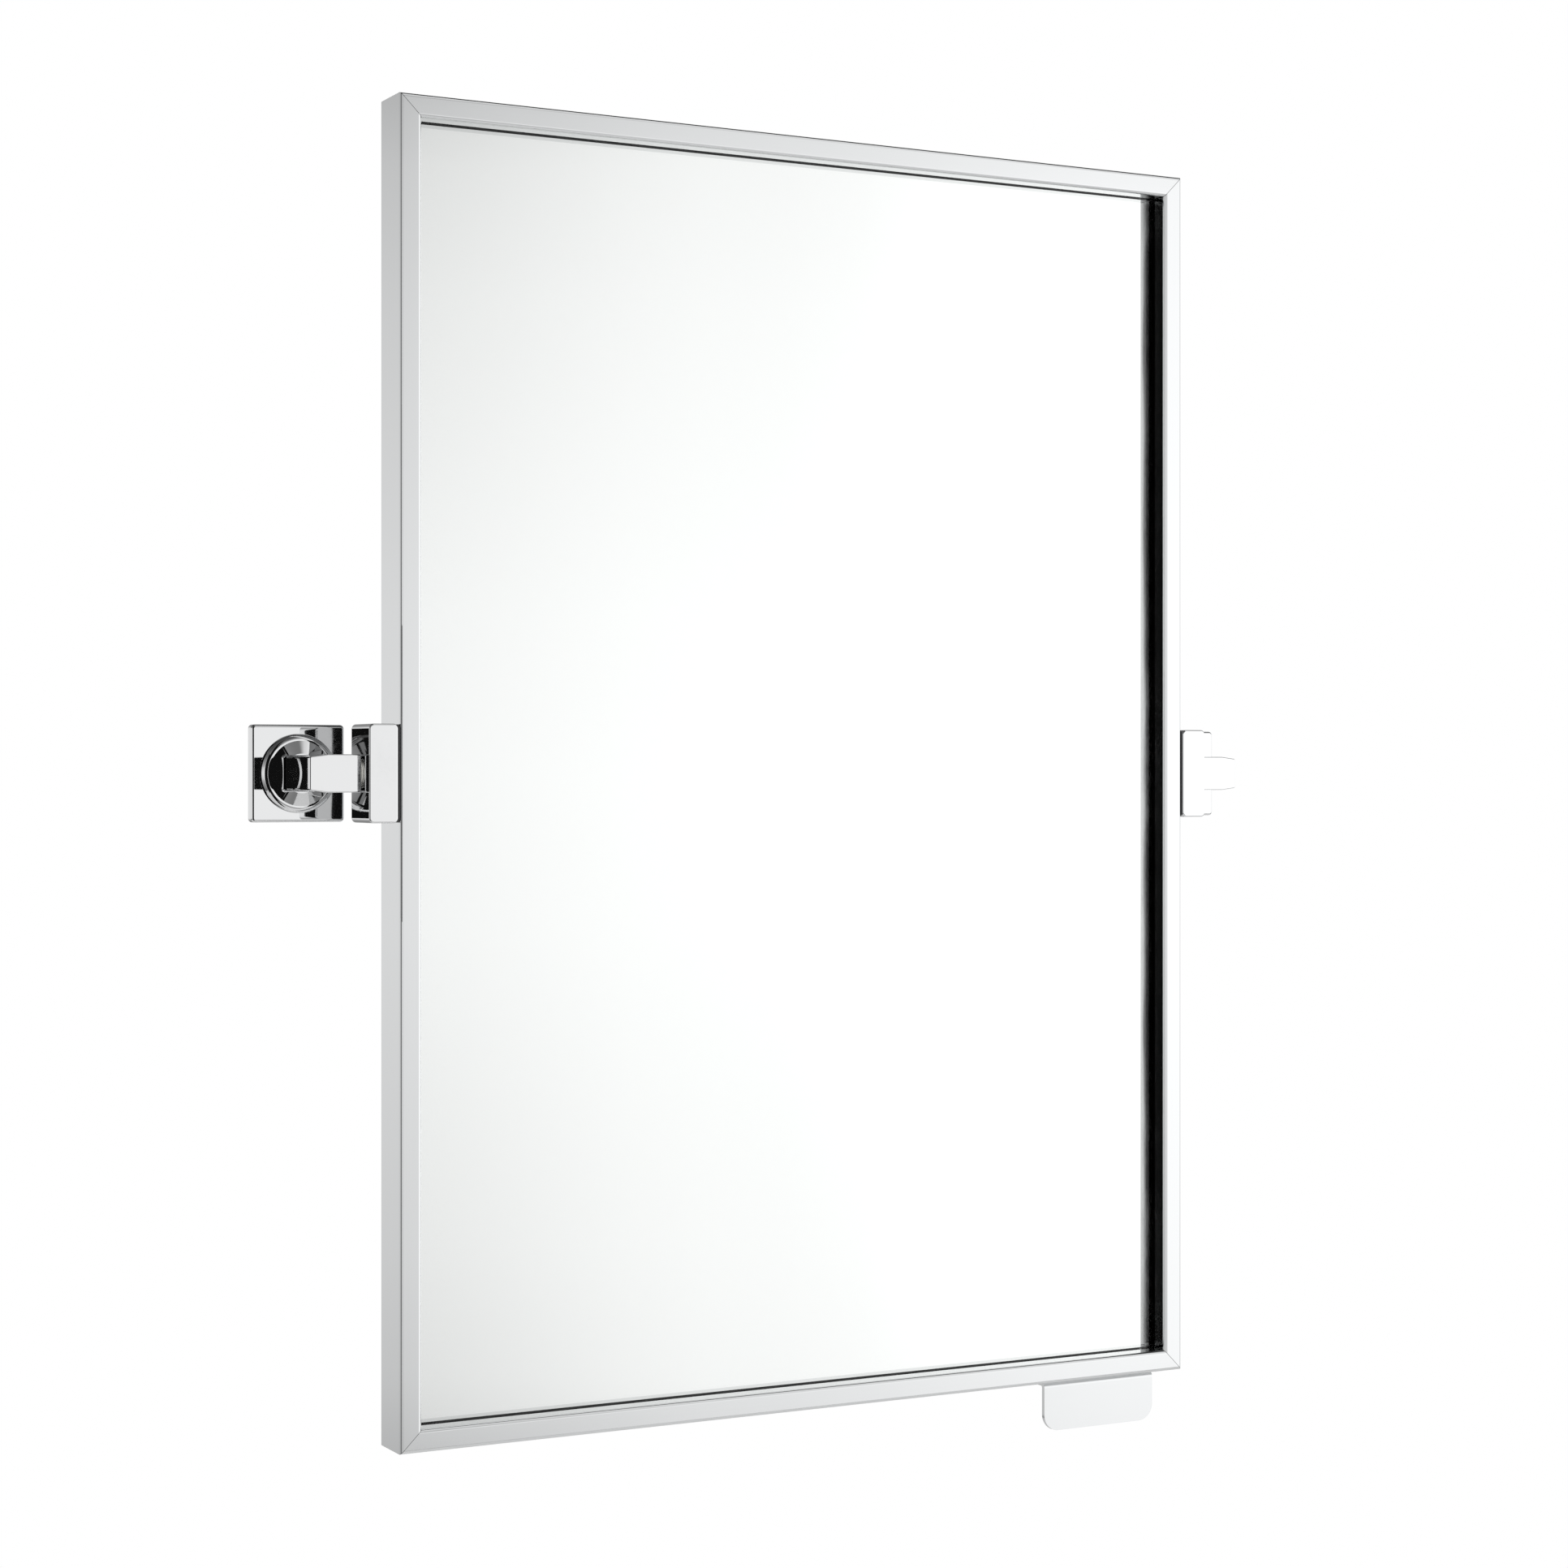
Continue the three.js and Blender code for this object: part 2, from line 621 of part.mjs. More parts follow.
function pivotBlock() {
  const outline = rectangle(BLOCK_WIDTH, BLOCK_HEIGHT, BLOCK_CORNER_RADIUS);
  const body = facing(slab(outline, BLOCK_DEPTH, BLOCK_EDGE), FRONT + BLOCK_DEPTH);
  body.translate(BLOCK_GAP + BLOCK_WIDTH / 2, 0, 0);
  const bore = rod(BUSH_RADIUS + SEAT, BLOCK_GAP - THROUGH, BLOCK_OUTER + THROUGH, PIN_STEPS);
  const socket = rod(SOCKET_RADIUS, BLOCK_GAP - THROUGH, BLOCK_OUTER - BLOCK_WALL, PIN_STEPS);
  const pivotHoles = [bore, socket].map((tool) => alongX(tool).translate(0, AXIS_Y, 0));
  const screwHoles = [-1, 1].map((end) => {
    const bottom = BLOCK_GAP + BLOCK_SCREW_BITE + THROUGH;
    const hole = rod(BLOCK_SCREW_RADIUS + THREAD_ROOM, BLOCK_GAP - THROUGH, bottom);
    return alongX(hole).translate(0, FRONT + CHANNEL_MIDDLE, end * BLOCK_SCREW_OFFSET);
  });
  return cut(body, ...pivotHoles, ...screwHoles);
}

function blockPad() {
  const height = BLOCK_HEIGHT - 2 * BLOCK_PAD_INSET;
  const depth = BLOCK_DEPTH - 2 * BLOCK_PAD_INSET;
  const outline = rectangle(depth, height, BLOCK_CORNER_RADIUS);
  const pad = slab(outline, BLOCK_PAD_THICKNESS).rotateX(Math.PI / 2).rotateZ(Math.PI / 2);
  pad.translate(SEAT, FRONT + BLOCK_DEPTH / 2, 0);
  const window = rod(SOCKET_RADIUS, -THROUGH, BLOCK_GAP + THROUGH, PIN_STEPS);
  const tools = [alongX(window).translate(0, AXIS_Y, 0)];
  [-1, 1].forEach((end) => {
    const hole = rod(BLOCK_SCREW_RADIUS + HOLE_ROOM, -THROUGH, BLOCK_GAP + THROUGH);
    tools.push(alongX(hole).translate(0, FRONT + CHANNEL_MIDDLE, end * BLOCK_SCREW_OFFSET));
  });
  return cut(pad, ...tools);
}

// From inside the stile's channel, through its side and the pad, into the block.
function blockScrew(end) {
  const length = SEAT / 2 + FRAME_WALL + BLOCK_GAP + BLOCK_SCREW_BITE;
  const head = BLOCK_SCREW_HEAD_RADIUS;
  const screw = alongX(panScrew(BLOCK_SCREW_RADIUS, length, head, BLOCK_SCREW_HEAD_HEIGHT));
  const place = [-(FRAME_WALL + SEAT / 2), FRONT + CHANNEL_MIDDLE, end * BLOCK_SCREW_OFFSET];
  return screw.translate(...place);
}

// From the front: the arm is higher than the post and tapers down to it at the outer end.
function armOutline() {
  const taper = ARM_END - ARM_TAPER_LENGTH;
  const corners = [
    [ARM_START, -ARM_HEIGHT / 2],
    [taper, -ARM_HEIGHT / 2],
    [ARM_END, -POST_HEIGHT / 2],
    [ARM_END, POST_HEIGHT / 2],
    [taper, ARM_HEIGHT / 2],
    [ARM_START, ARM_HEIGHT / 2],
  ];
  return roundedOutline(corners, ARM_CORNER_RADIUS);
}

// The casting: its post is bored for the wall bracket's spigot, and its arm for the pin. A grub
// screw from below holds each of them.
function arm() {
  const armBack = FRONT + ARM_SETBACK + ARM_DEPTH;
  const head = facing(slab(armOutline(), ARM_DEPTH, ARM_EDGE), armBack);
  const postOutline = rectangle(POST_WIDTH, POST_HEIGHT, ARM_CORNER_RADIUS);
  const postLength = POST_HEEL - armBack + ARM_DEPTH / 2;
  const post = facing(slab(postOutline, postLength), POST_HEEL).translate(POST_OFFSET, 0, 0);
  const spigotEnd = POST_HEEL - SPIGOT_LENGTH - SEAT;
  const spigotHole = rod(SPIGOT_RADIUS + SEAT, spigotEnd, POST_HEEL + THROUGH, PIN_STEPS);
  const pinEnd = ARM_START + PIN_ROOT_LENGTH + SEAT;
  const pinHole = rod(PIN_ROOT_RADIUS + SEAT, ARM_START - THROUGH, pinEnd, PIN_STEPS);
  const armScrewHole = rod(ARM_SCREW_RADIUS + THREAD_ROOM, -POST_HEIGHT, 0);
  const pinScrewHole = rod(PIN_SCREW_RADIUS + THREAD_ROOM, -ARM_HEIGHT, 0);
  return cut(
    join(head, post),
    spigotHole.translate(POST_OFFSET, 0, 0),
    alongX(pinHole).translate(0, AXIS_Y, 0),
    upright(armScrewHole).translate(POST_OFFSET, ARM_SCREW_Y, 0),
    upright(pinScrewHole).translate(pinScrewX(), AXIS_Y, 0),
  );
}

function pinScrewX() {
  return ARM_START + PIN_ROOT_LENGTH / 2;
}

// Grub screws stand just inside the underside and stop at what they hold.
function armScrew() {
  const tip = SPIGOT_GROOVE_DEPTH - SPIGOT_RADIUS - SEAT;
  const screw = upright(rod(ARM_SCREW_RADIUS, -POST_HEIGHT / 2 + SEAT, tip));
  return screw.translate(POST_OFFSET, ARM_SCREW_Y, 0);
}

function pinScrew() {
  const tip = -PIN_ROOT_RADIUS - SEAT;
  const screw = upright(rod(PIN_SCREW_RADIUS, -ARM_HEIGHT / 2 + SEAT, tip));
  return screw.translate(pinScrewX(), AXIS_Y, 0);
}

// The pin and its stack, turned about the tilt axis. Heights count from the arm's end face into the
// block, so each is turned to run along -X.
function onPin(geometry) {
  return geometry.rotateZ(Math.PI / 2).translate(ARM_START, AXIS_Y, 0);
}

const WALL_INNER = ARM_GAP + BLOCK_WALL; // the block wall's inner face, from the arm's end face
const FRICTION_AT = WALL_INNER + RUNNING;
const SPRING_AT = FRICTION_AT + FRICTION_WASHER_THICKNESS + RUNNING;
const NUT_AT = SPRING_AT + SPRING_WASHER_THICKNESS + SPRING_WASHER_RISE + RUNNING;
const PIN_TIP = NUT_AT + NUT_HEIGHT + RUNNING;

function pivotPin() {
  const shoulder = WALL_INNER - RUNNING;
  const profile = [
    [0, -PIN_ROOT_LENGTH],
    [PIN_ROOT_RADIUS, -PIN_ROOT_LENGTH],
    [PIN_ROOT_RADIUS, RUNNING],
    [PIN_SHOULDER_RADIUS, RUNNING],
    [PIN_SHOULDER_RADIUS, shoulder],
    [PIN_THREAD_RADIUS, shoulder],
    [PIN_THREAD_RADIUS, PIN_TIP],
    [0, PIN_TIP],
  ];
  return onPin(turned(profile, PIN_STEPS));
}

function bush() {
  const flangeBack = RUNNING + BUSH_FLANGE_THICKNESS;
  const profile = [
    [BUSH_BORE, RUNNING],
    [BUSH_FLANGE_RADIUS, RUNNING],
    [BUSH_FLANGE_RADIUS, flangeBack],
    [BUSH_RADIUS, flangeBack],
    [BUSH_RADIUS, WALL_INNER - RUNNING],
    [BUSH_BORE, WALL_INNER - RUNNING],
    [BUSH_BORE, RUNNING],
  ];
  return onPin(turned(profile, PIN_STEPS));
}

function frictionWasher() {
  const to = FRICTION_AT + FRICTION_WASHER_THICKNESS;
  return onPin(ring(WASHER_BORE, WASHER_RADIUS, FRICTION_AT, to, PIN_STEPS));
}

// A dished washer: its rim stands on the friction washer and its bore meets the nut.
function springWasher() {
  const profile = [
    [WASHER_BORE, SPRING_AT + SPRING_WASHER_RISE],
    [WASHER_RADIUS, SPRING_AT],
    [WASHER_RADIUS, SPRING_AT + SPRING_WASHER_THICKNESS],
    [WASHER_BORE, SPRING_AT + SPRING_WASHER_RISE + SPRING_WASHER_THICKNESS],
    [WASHER_BORE, SPRING_AT + SPRING_WASHER_RISE],
  ];
  return onPin(turned(profile, PIN_STEPS));
}

function lockNut() {
  const sides = 6;
  const hex = rod(NUT_RADIUS, NUT_AT, NUT_AT + NUT_HEIGHT, sides);
  const hole = rod(WASHER_BORE, NUT_AT - THROUGH, NUT_AT + NUT_HEIGHT + THROUGH, PIN_STEPS);
  return onPin(cut(hex, hole));
}

// --- On the wall ------------------------------------------------------------------------------

function postHole(from, to) {
  const outline = rectangle(POST_WIDTH + 2 * SEAT, POST_HEIGHT + 2 * SEAT, ARM_CORNER_RADIUS);
  return facing(slab(outline, to - from), to);
}

// The square cover plate, hollow behind for the wall bracket.
function wallPlate() {
  const depth = PLATE_DEPTH + PLATE_EDGE;
  const outline = rectangle(PLATE_SIZE, PLATE_SIZE, PLATE_CORNER_RADIUS);
  const block = facing(slab(outline, depth, PLATE_EDGE), PLATE_EDGE);
  const behindWall = new THREE.BoxGeometry(2 * PLATE_SIZE, PLATE_SIZE, 2 * PLATE_SIZE);
  behindWall.translate(0, PLATE_SIZE / 2, 0);
  const inside = PLATE_SIZE - 2 * PLATE_WALL;
  const hollow = facing(slab(rectangle(inside, inside, PLATE_WALL), depth), PLATE_EDGE + PLATE_WALL);
  const hole = postHole(-PLATE_DEPTH - THROUGH, THROUGH);
  return cut(block, behindWall, hollow, hole).translate(POST_OFFSET, 0, 0);
}

// The round collar: a rimmed disc with a coved neck up to the post.
function collar() {
  const back = -PLATE_DEPTH - SEAT;
  const front = back - COLLAR_THICKNESS;
  const flat = COLLAR_RADIUS - COLLAR_RIM_RADIUS;
  const profile = [
    [0, front],
    [flat, front],
  ];
  for (let i = 1; i <= COVE_STEPS; i += 1) {
    const turn = (i / COVE_STEPS) * (Math.PI / 2);
    const radius = flat + COLLAR_RIM_RADIUS * Math.sin(turn);
    profile.push([radius, front + COLLAR_RIM_RADIUS * (1 - Math.cos(turn))]);
  }
  profile.push([COLLAR_RADIUS, back]);
  profile.push([0, back]);
  const disc = turned(profile, ROUND_STEPS);
  const neck = facing(collarNeck(), front + COLLAR_RIM_RADIUS / 2);
  const hole = postHole(front - COLLAR_NECK_HEIGHT - THROUGH, THROUGH);
  return cut(join(disc, neck), hole).translate(POST_OFFSET, 0, 0);
}

// A cove: the outline draws in along a quarter circle as it rises off the disc.
function collarNeck() {
  const sunk = COLLAR_RIM_RADIUS / 2;
  const outlineAt = (offset) => {
    const grow = 2 * (SEAT + offset);
    return rectangle(POST_WIDTH + grow, POST_HEIGHT + grow, ARM_CORNER_RADIUS + offset);
  };
  const widest = COLLAR_NECK_LIP + COLLAR_NECK_HEIGHT;
  const outlines = [outlineAt(widest)];
  const heights = [0];
  for (let i = 0; i <= COVE_STEPS; i += 1) {
    const turn = (i / COVE_STEPS) * (Math.PI / 2);
    outlines.push(outlineAt(widest - COLLAR_NECK_HEIGHT * Math.sin(turn)));
    heights.push(sunk + COLLAR_NECK_HEIGHT * (1 - Math.cos(turn)));
  }
  return loft(outlines, heights);
}

// The plate that is screwed to the wall, with the grooved spigot that carries the arm.
function wallBracket() {
  const outline = rectangle(WALL_BRACKET_SIZE, WALL_BRACKET_SIZE, PLATE_WALL);
  const plate = facing(slab(outline, WALL_BRACKET_THICKNESS), 0);
  const tip = POST_HEEL - SPIGOT_LENGTH;
  const groove = SPIGOT_RADIUS - SPIGOT_GROOVE_DEPTH;
  const grooveHalf = SPIGOT_GROOVE_WIDTH / 2;
  const profile = [
    [0, tip],
    [SPIGOT_RADIUS - SEAT, tip],
    [SPIGOT_RADIUS, tip + SEAT],
    [SPIGOT_RADIUS, ARM_SCREW_Y - grooveHalf - SPIGOT_GROOVE_DEPTH],
    [groove, ARM_SCREW_Y - grooveHalf],
    [groove, ARM_SCREW_Y + grooveHalf],
    [SPIGOT_RADIUS, ARM_SCREW_Y + grooveHalf + SPIGOT_GROOVE_DEPTH],
    [SPIGOT_RADIUS, -WALL_BRACKET_THICKNESS / 2],
    [0, -WALL_BRACKET_THICKNESS / 2],
  ];
  const spigot = turned(profile, PIN_STEPS);
  const sinks = [-1, 1].map((side) => {
    const middle = (side * WALL_SCREW_SPACING) / 2;
    return countersunkHole().translate(middle, 0, 0);
  });
  return cut(join(plate, spigot), ...sinks).translate(POST_OFFSET, 0, 0);
}

function countersunkHole() {
  const front = -WALL_BRACKET_THICKNESS;
  const profile = [
    [0, front - THROUGH],
    [COUNTERSINK_RADIUS + THROUGH, front - THROUGH],
    [WALL_HOLE_RADIUS, front + COUNTERSINK_RADIUS - WALL_HOLE_RADIUS],
    [WALL_HOLE_RADIUS, THROUGH],
    [0, THROUGH],
  ];
  return turned(profile, SCREW_STEPS);
}

function sidePieces(side) {
  const pieces = [
    ["pivot_block", pivotBlock(), LOOKS.chrome],
    ["block_pad", blockPad(), LOOKS.blackNylon],
    ["block_screw_1", blockScrew(-1), LOOKS.zincPlated],
    ["block_screw_2", blockScrew(1), LOOKS.zincPlated],
    ["bush", bush(), LOOKS.nylon],
    ["arm", arm(), LOOKS.chrome],
    ["arm_screw", armScrew(), LOOKS.zincPlated],
    ["pin_screw", pinScrew(), LOOKS.zincPlated],
    ["pivot_pin", pivotPin(), LOOKS.zincPlated],
    ["friction_washer", frictionWasher(), LOOKS.fibre],
    ["spring_washer", springWasher(), LOOKS.zincPlated],
    ["lock_nut", lockNut(), LOOKS.zincPlated],
    ["collar", collar(), LOOKS.chrome],
    ["wall_plate", wallPlate(), LOOKS.chrome],
    ["wall_bracket", wallBracket(), LOOKS.zincPlated],
  ];
  const group = new THREE.Group();
  pieces.forEach(([name, geometry, look]) => group.add(piece(`${side}_${name}`, geometry, look)));
  return group;
}

// --- The whole --------------------------------------------------------------------------------

const mirror = new THREE.Group();
mirror.name = "pivot_wall_mirror";
mirror.add(frameMembers(), cornerKeys(), glassAndBack(), tiltTab());

const right = sidePieces("right");
right.position.x = FRAME_WIDTH / 2;
const left = sidePieces("left");
left.position.x = -FRAME_WIDTH / 2;
left.scale.x = -1;
mirror.add(left, right);

export default mirror;
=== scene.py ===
"""A rectangular wall mirror that tilts between two chrome wall brackets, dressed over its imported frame.

Metres. +X along the mirror's width, +Y into the wall, +Z up; the glass faces -Y.
"""

import json
from math import cos, pi, radians, sin, tan

import bmesh
import bpy
from bpy.props import FloatProperty, FloatVectorProperty, IntProperty, PointerProperty
from mathutils import Matrix, Vector


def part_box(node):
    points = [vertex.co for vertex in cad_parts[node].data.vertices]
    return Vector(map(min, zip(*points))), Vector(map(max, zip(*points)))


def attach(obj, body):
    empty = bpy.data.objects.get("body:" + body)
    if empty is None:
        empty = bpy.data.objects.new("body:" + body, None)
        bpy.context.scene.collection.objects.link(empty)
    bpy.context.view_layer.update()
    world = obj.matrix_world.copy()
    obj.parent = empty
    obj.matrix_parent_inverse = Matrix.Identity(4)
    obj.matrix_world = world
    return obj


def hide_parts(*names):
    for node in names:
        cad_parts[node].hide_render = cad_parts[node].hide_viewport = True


bl_info = {
    "name": "Pivot Wall Mirror",
    "version": (1, 0, 0),
    "blender": (4, 5, 0),
    "location": "3D View > Sidebar > Wall Mirror",
    "description": "Dresses a tilting wall mirror and sets the studio around it",
    "category": "Object",
}

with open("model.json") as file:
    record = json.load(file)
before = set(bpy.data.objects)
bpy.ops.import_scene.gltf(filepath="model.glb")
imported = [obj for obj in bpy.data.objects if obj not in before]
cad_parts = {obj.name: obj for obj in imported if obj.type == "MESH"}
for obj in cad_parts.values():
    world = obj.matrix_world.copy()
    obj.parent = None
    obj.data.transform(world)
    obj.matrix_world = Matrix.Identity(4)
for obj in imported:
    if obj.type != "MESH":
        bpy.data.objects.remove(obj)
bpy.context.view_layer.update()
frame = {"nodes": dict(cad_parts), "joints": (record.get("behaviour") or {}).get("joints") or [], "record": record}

WALL_BODY = "wall_brackets"
MIRROR_BODY = "framed_mirror"
SIDES = ("left", "right")
MEMBERS = ("bottom_rail", "left_stile", "top_rail", "right_stile")
UP = Vector((0, 0, 1))
PHOTO_SIZE = 1932  # pixels along each side of the photograph

SHARP = radians(32)  # an edge between faces that meet at more than this is drawn sharp
COLLAR_SHARP = radians(12)  # the same for the collar, whose cone meets its flat ring at a low angle
THROUGH = 0.001  # how far a cutter reaches past the face that it cuts

COLLAR_STEPS = 12  # steps along the collar's rim and along its neck's cove
MEMBER_STEPS = 12  # lengths that a frame member's skin is divided into
TAB_STEPS = 6  # the same across the tab
PANEL_ROOM = 0.0003  # between the back panel and the rib that traps it
TAB_HOLE = 0.0022  # radius of the tab's screw holes
TAB_HOLE_DEPTH = 0.006
TAB_RIM = 0.00035  # rounding along the tab's sheared edges
WASHER_ROOM = 0.001  # round the washers in the block
BUSH_PROUD = 0.0008  # length of the bush, flange and all, that stands outside the block
SCREW_ROOM = 0.0002  # round the arm's grub screws
SCREW_HOLE_REACH = 0.012  # from a grub screw's middle down past the arm's underside
SPIGOT_BORE = 0.0053  # radius of the bore for the wall bracket's spigot
SPIGOT_ROOM = 0.0003  # past the spigot's end

PAN_FLAT = 0.35  # flat top of a pan head, as a share of its radius
PAN_DROP = 0.0012  # from the pan head's top to its rim
PAN_HEIGHT = 0.0018
PAN_STEPS = 6  # steps along the pan head's crown
PAN_SHANK = 0.52  # shank over head
SCREW_TIP = 0.75  # tip over shank
SCREW_TIP_LENGTH = 0.0006
GRUB_CHAMFER = 0.14  # as a share of the grub screw's radius
GRUB_SOCKET = 0.52  # the same for its socket


# --- What a user would change -------------------------------------------------------------------


class FrameSizes(bpy.types.PropertyGroup):
    """The steel frame's section, the glass and the tab."""

    face_width: FloatProperty(
        name="Face width",
        description="From the frame's outer edge to the end of the bend round the glass",
        default=0.012,
        unit="LENGTH",
    )
    recess_depth: FloatProperty(
        name="Recess depth",
        description="From the frame's face back to the end of its lip",
        default=0.010,
        unit="LENGTH",
    )
    edge_radius: FloatProperty(
        name="Edge radius",
        description="Outside radius of the frame's bends",
        default=0.002,
        unit="LENGTH",
    )
    wall: FloatProperty(
        name="Sheet thickness",
        description="Thickness of the frame's steel",
        default=0.0015,
        unit="LENGTH",
    )
    back_lip: FloatProperty(
        name="Back lip",
        description="How far the frame's back lip reaches in",
        default=0.011,
        unit="LENGTH",
    )
    rib_reach: FloatProperty(
        name="Rib reach",
        description="How far the rib behind the back panel reaches in",
        default=0.004,
        unit="LENGTH",
    )
    rib_thickness: FloatProperty(
        name="Rib thickness",
        description="Thickness of the rib behind the back panel",
        default=0.0012,
        unit="LENGTH",
    )
    mitre_gap: FloatProperty(
        name="Mitre gap",
        description="Open seam between two members at a corner",
        default=0.0003,
        unit="LENGTH",
    )
    glass_arris: FloatProperty(
        name="Glass arris",
        description="Width of the ground edge round the glass",
        default=0.0005,
        unit="LENGTH",
    )
    glass_corner: FloatProperty(
        name="Glass corner",
        description="Radius of the glass's corners",
        default=0.002,
        unit="LENGTH",
    )
    silver: FloatProperty(
        name="Silver layer",
        description="Thickness of the silver and its paint on the back of the glass",
        default=0.0001,
        unit="LENGTH",
    )
    tab_thickness: FloatProperty(
        name="Tab thickness",
        description="Thickness of the tab's steel",
        default=0.0025,
        unit="LENGTH",
    )
    tab_corner: FloatProperty(
        name="Tab corner",
        description="Radius of the tab's lower corners",
        default=0.0095,
        unit="LENGTH",
    )
    tab_bend: FloatProperty(
        name="Tab bend",
        description="Outside radius of the bend under the rail",
        default=0.0035,
        unit="LENGTH",
    )


class BracketSizes(bpy.types.PropertyGroup):
    """The chrome pieces beside the mirror and on the wall."""

    block_corner: FloatProperty(
        name="Block corner",
        description="Radius of the pivot block's four long edges",
        default=0.0025,
        unit="LENGTH",
    )
    block_edge: FloatProperty(
        name="Block edge",
        description="Radius of the pivot block's rims",
        default=0.0009,
        unit="LENGTH",
    )
    arm_depth: FloatProperty(
        name="Arm depth",
        description="The arm's size from front to back",
        default=0.014,
        unit="LENGTH",
    )
    arm_taper: FloatProperty(
        name="Arm taper",
        description="Length over which the arm narrows to the post's height",
        default=0.0095,
        unit="LENGTH",
    )
    arm_corner: FloatProperty(
        name="Arm corner",
        description="Radius of the arm's corners seen from the front",
        default=0.001,
        unit="LENGTH",
    )
    arm_edge: FloatProperty(
        name="Arm edge",
        description="Radius of the arm's rims",
        default=0.0006,
        unit="LENGTH",
    )
    post_width: FloatProperty(
        name="Post width",
        description="The post's size along the mirror's width",
        default=0.019,
        unit="LENGTH",
    )
    post_height: FloatProperty(
        name="Post height",
        description="The post's upright size",
        default=0.0172,
        unit="LENGTH",
    )
    seat: FloatProperty(
        name="Seat room",
        description="Room between the post and what is slipped over it",
        default=0.0003,
        unit="LENGTH",
    )
    collar_thickness: FloatProperty(
        name="Collar thickness",
        description="Thickness of the collar's disc",
        default=0.0035,
        unit="LENGTH",
    )
    collar_rim: FloatProperty(
        name="Collar rim",
        description="Radius of the rounding round the collar",
        default=0.003,
        unit="LENGTH",
    )
    collar_flat: FloatProperty(
        name="Collar flat",
        description="Width of the flat ring inside the collar's rim",
        default=0.0006,
        unit="LENGTH",
    )
    collar_cone: FloatProperty(
        name="Collar cone",
        description="How far the collar's face rises from its flat ring to its neck",
        default=0.002,
        unit="LENGTH",
    )
    neck_lip: FloatProperty(
        name="Neck lip",
        description="Flat width round the post at the top of the collar's cove",
        default=0.0005,
        unit="LENGTH",
    )
    plate_corner: FloatProperty(
        name="Plate corner",
        description="Radius of the wall plate's corners",
        default=0.0022,
        unit="LENGTH",
    )
    plate_edge: FloatProperty(
        name="Plate edge",
        description="Radius of the wall plate's front rim",
        default=0.0015,
        unit="LENGTH",
    )
    plate_wall: FloatProperty(
        name="Plate thickness",
        description="Thickness of the hollow wall plate's sheet",
        default=0.0015,
        unit="LENGTH",
    )
    pin_bore: FloatProperty(
        name="Pin bore",
        description="Radius of the bore for the pivot's bush in the block",
        default=0.00585,
        unit="LENGTH",
    )


class ScrewSizes(bpy.types.PropertyGroup):
    """The screws' drives and how they were left turned."""

    cross_width: FloatProperty(
        name="Cross width",
        description="Width of the cross recess's arms over the head's radius",
        default=0.3,
        min=0.05,
        max=0.9,
        subtype="FACTOR",
    )
    cross_depth: FloatProperty(
        name="Cross depth",
        description="Depth of the cross recess",
        default=0.0011,
        unit="LENGTH",
    )
    socket_depth: FloatProperty(
        name="Socket depth",
        description="Depth of a grub screw's six-sided socket",
        default=0.0018,
        unit="LENGTH",
    )
    turn_seed: IntProperty(
        name="Turn seed",
        description="Picks how far each screw was turned home",
        default=7,
    )


class Finishes(bpy.types.PropertyGroup):
    """The colours of the finishes."""

    steel: FloatVectorProperty(
        name="Bright steel",
        description="Colour of the frame and the tab",
        default=(0.775, 0.785, 0.79),
        subtype="COLOR",
    )
    chrome: FloatVectorProperty(
        name="Chrome",
        description="Colour of the polished bracket pieces",
        default=(0.83, 0.835, 0.84),
        subtype="COLOR",
    )
    silver: FloatVectorProperty(
        name="Silver layer",
        description="Colour of the mirror's silvering",
        default=(0.94, 0.945, 0.94),
        subtype="COLOR",
    )
    glass: FloatVectorProperty(
        name="Glass",
        description="Colour of the clear glass",
        default=(0.985, 0.995, 0.99),
        subtype="COLOR",
    )
    zinc: FloatVectorProperty(
        name="Zinc plating",
        description="Colour of the screws, pins, washers and nuts",
        default=(0.62, 0.64, 0.67),
        subtype="COLOR",
    )
    hardboard: FloatVectorProperty(
        name="Hardboard",
        description="Colour of the board behind the glass",
        default=(0.26, 0.15, 0.085),
        subtype="COLOR",
    )


class StageSettings(bpy.types.PropertyGroup):
    """The camera, the lamps and the studio that the metal reflects."""

    camera_place: FloatVectorProperty(
        name="Camera place",
        description="Where the camera stands",
        default=(-0.8208, -1.5565, 0.0),
        subtype="XYZ",
        unit="LENGTH",
    )
    camera_bearing: FloatProperty(
        name="Camera bearing",
        description="How far the camera looks to the right of straight at the wall",
        default=radians(28.12),
        subtype="ANGLE",
    )
    focal_pixels: FloatProperty(
        name="Focal length in pixels",
        description="The photograph's focal length over the size of its pixels",
        default=3822.5,
    )
    horizon_row: FloatProperty(
        name="Horizon row",
        description="The photograph's row at the camera's own height",
        default=953.0,
    )
    floor_drop: FloatProperty(
        name="Floor drop",
        description="How far the floor lies under the tilt axis",
        default=1.5,
        unit="LENGTH",
    )
    ambient: FloatProperty(
        name="Ambient light",
        description="Level of the studio's even light",
        default=0.55,
    )
    key_power: FloatProperty(
        name="Key lamp",
        description="Power of the soft lamp at the upper left",
        default=24.0,
    )
    fill_power: FloatProperty(
        name="Fill lamps",
        description="Power of the soft lamp at the right and of the one behind",
        default=14.0,
    )
    studio_peak: FloatProperty(
        name="Studio peak",
        description="Brightness of the lightest part of the studio in a reflection",
        default=1.5,
    )


# --- Outlines and meshes ------------------------------------------------------------------------


def arc(centre, radius, start, end, steps):
    """Points along an arc, both ends included."""
    turns = [start + (end - start) * step / steps for step in range(steps + 1)]
    return [Vector((centre[0] + radius * cos(turn), centre[1] + radius * sin(turn))) for turn in turns]


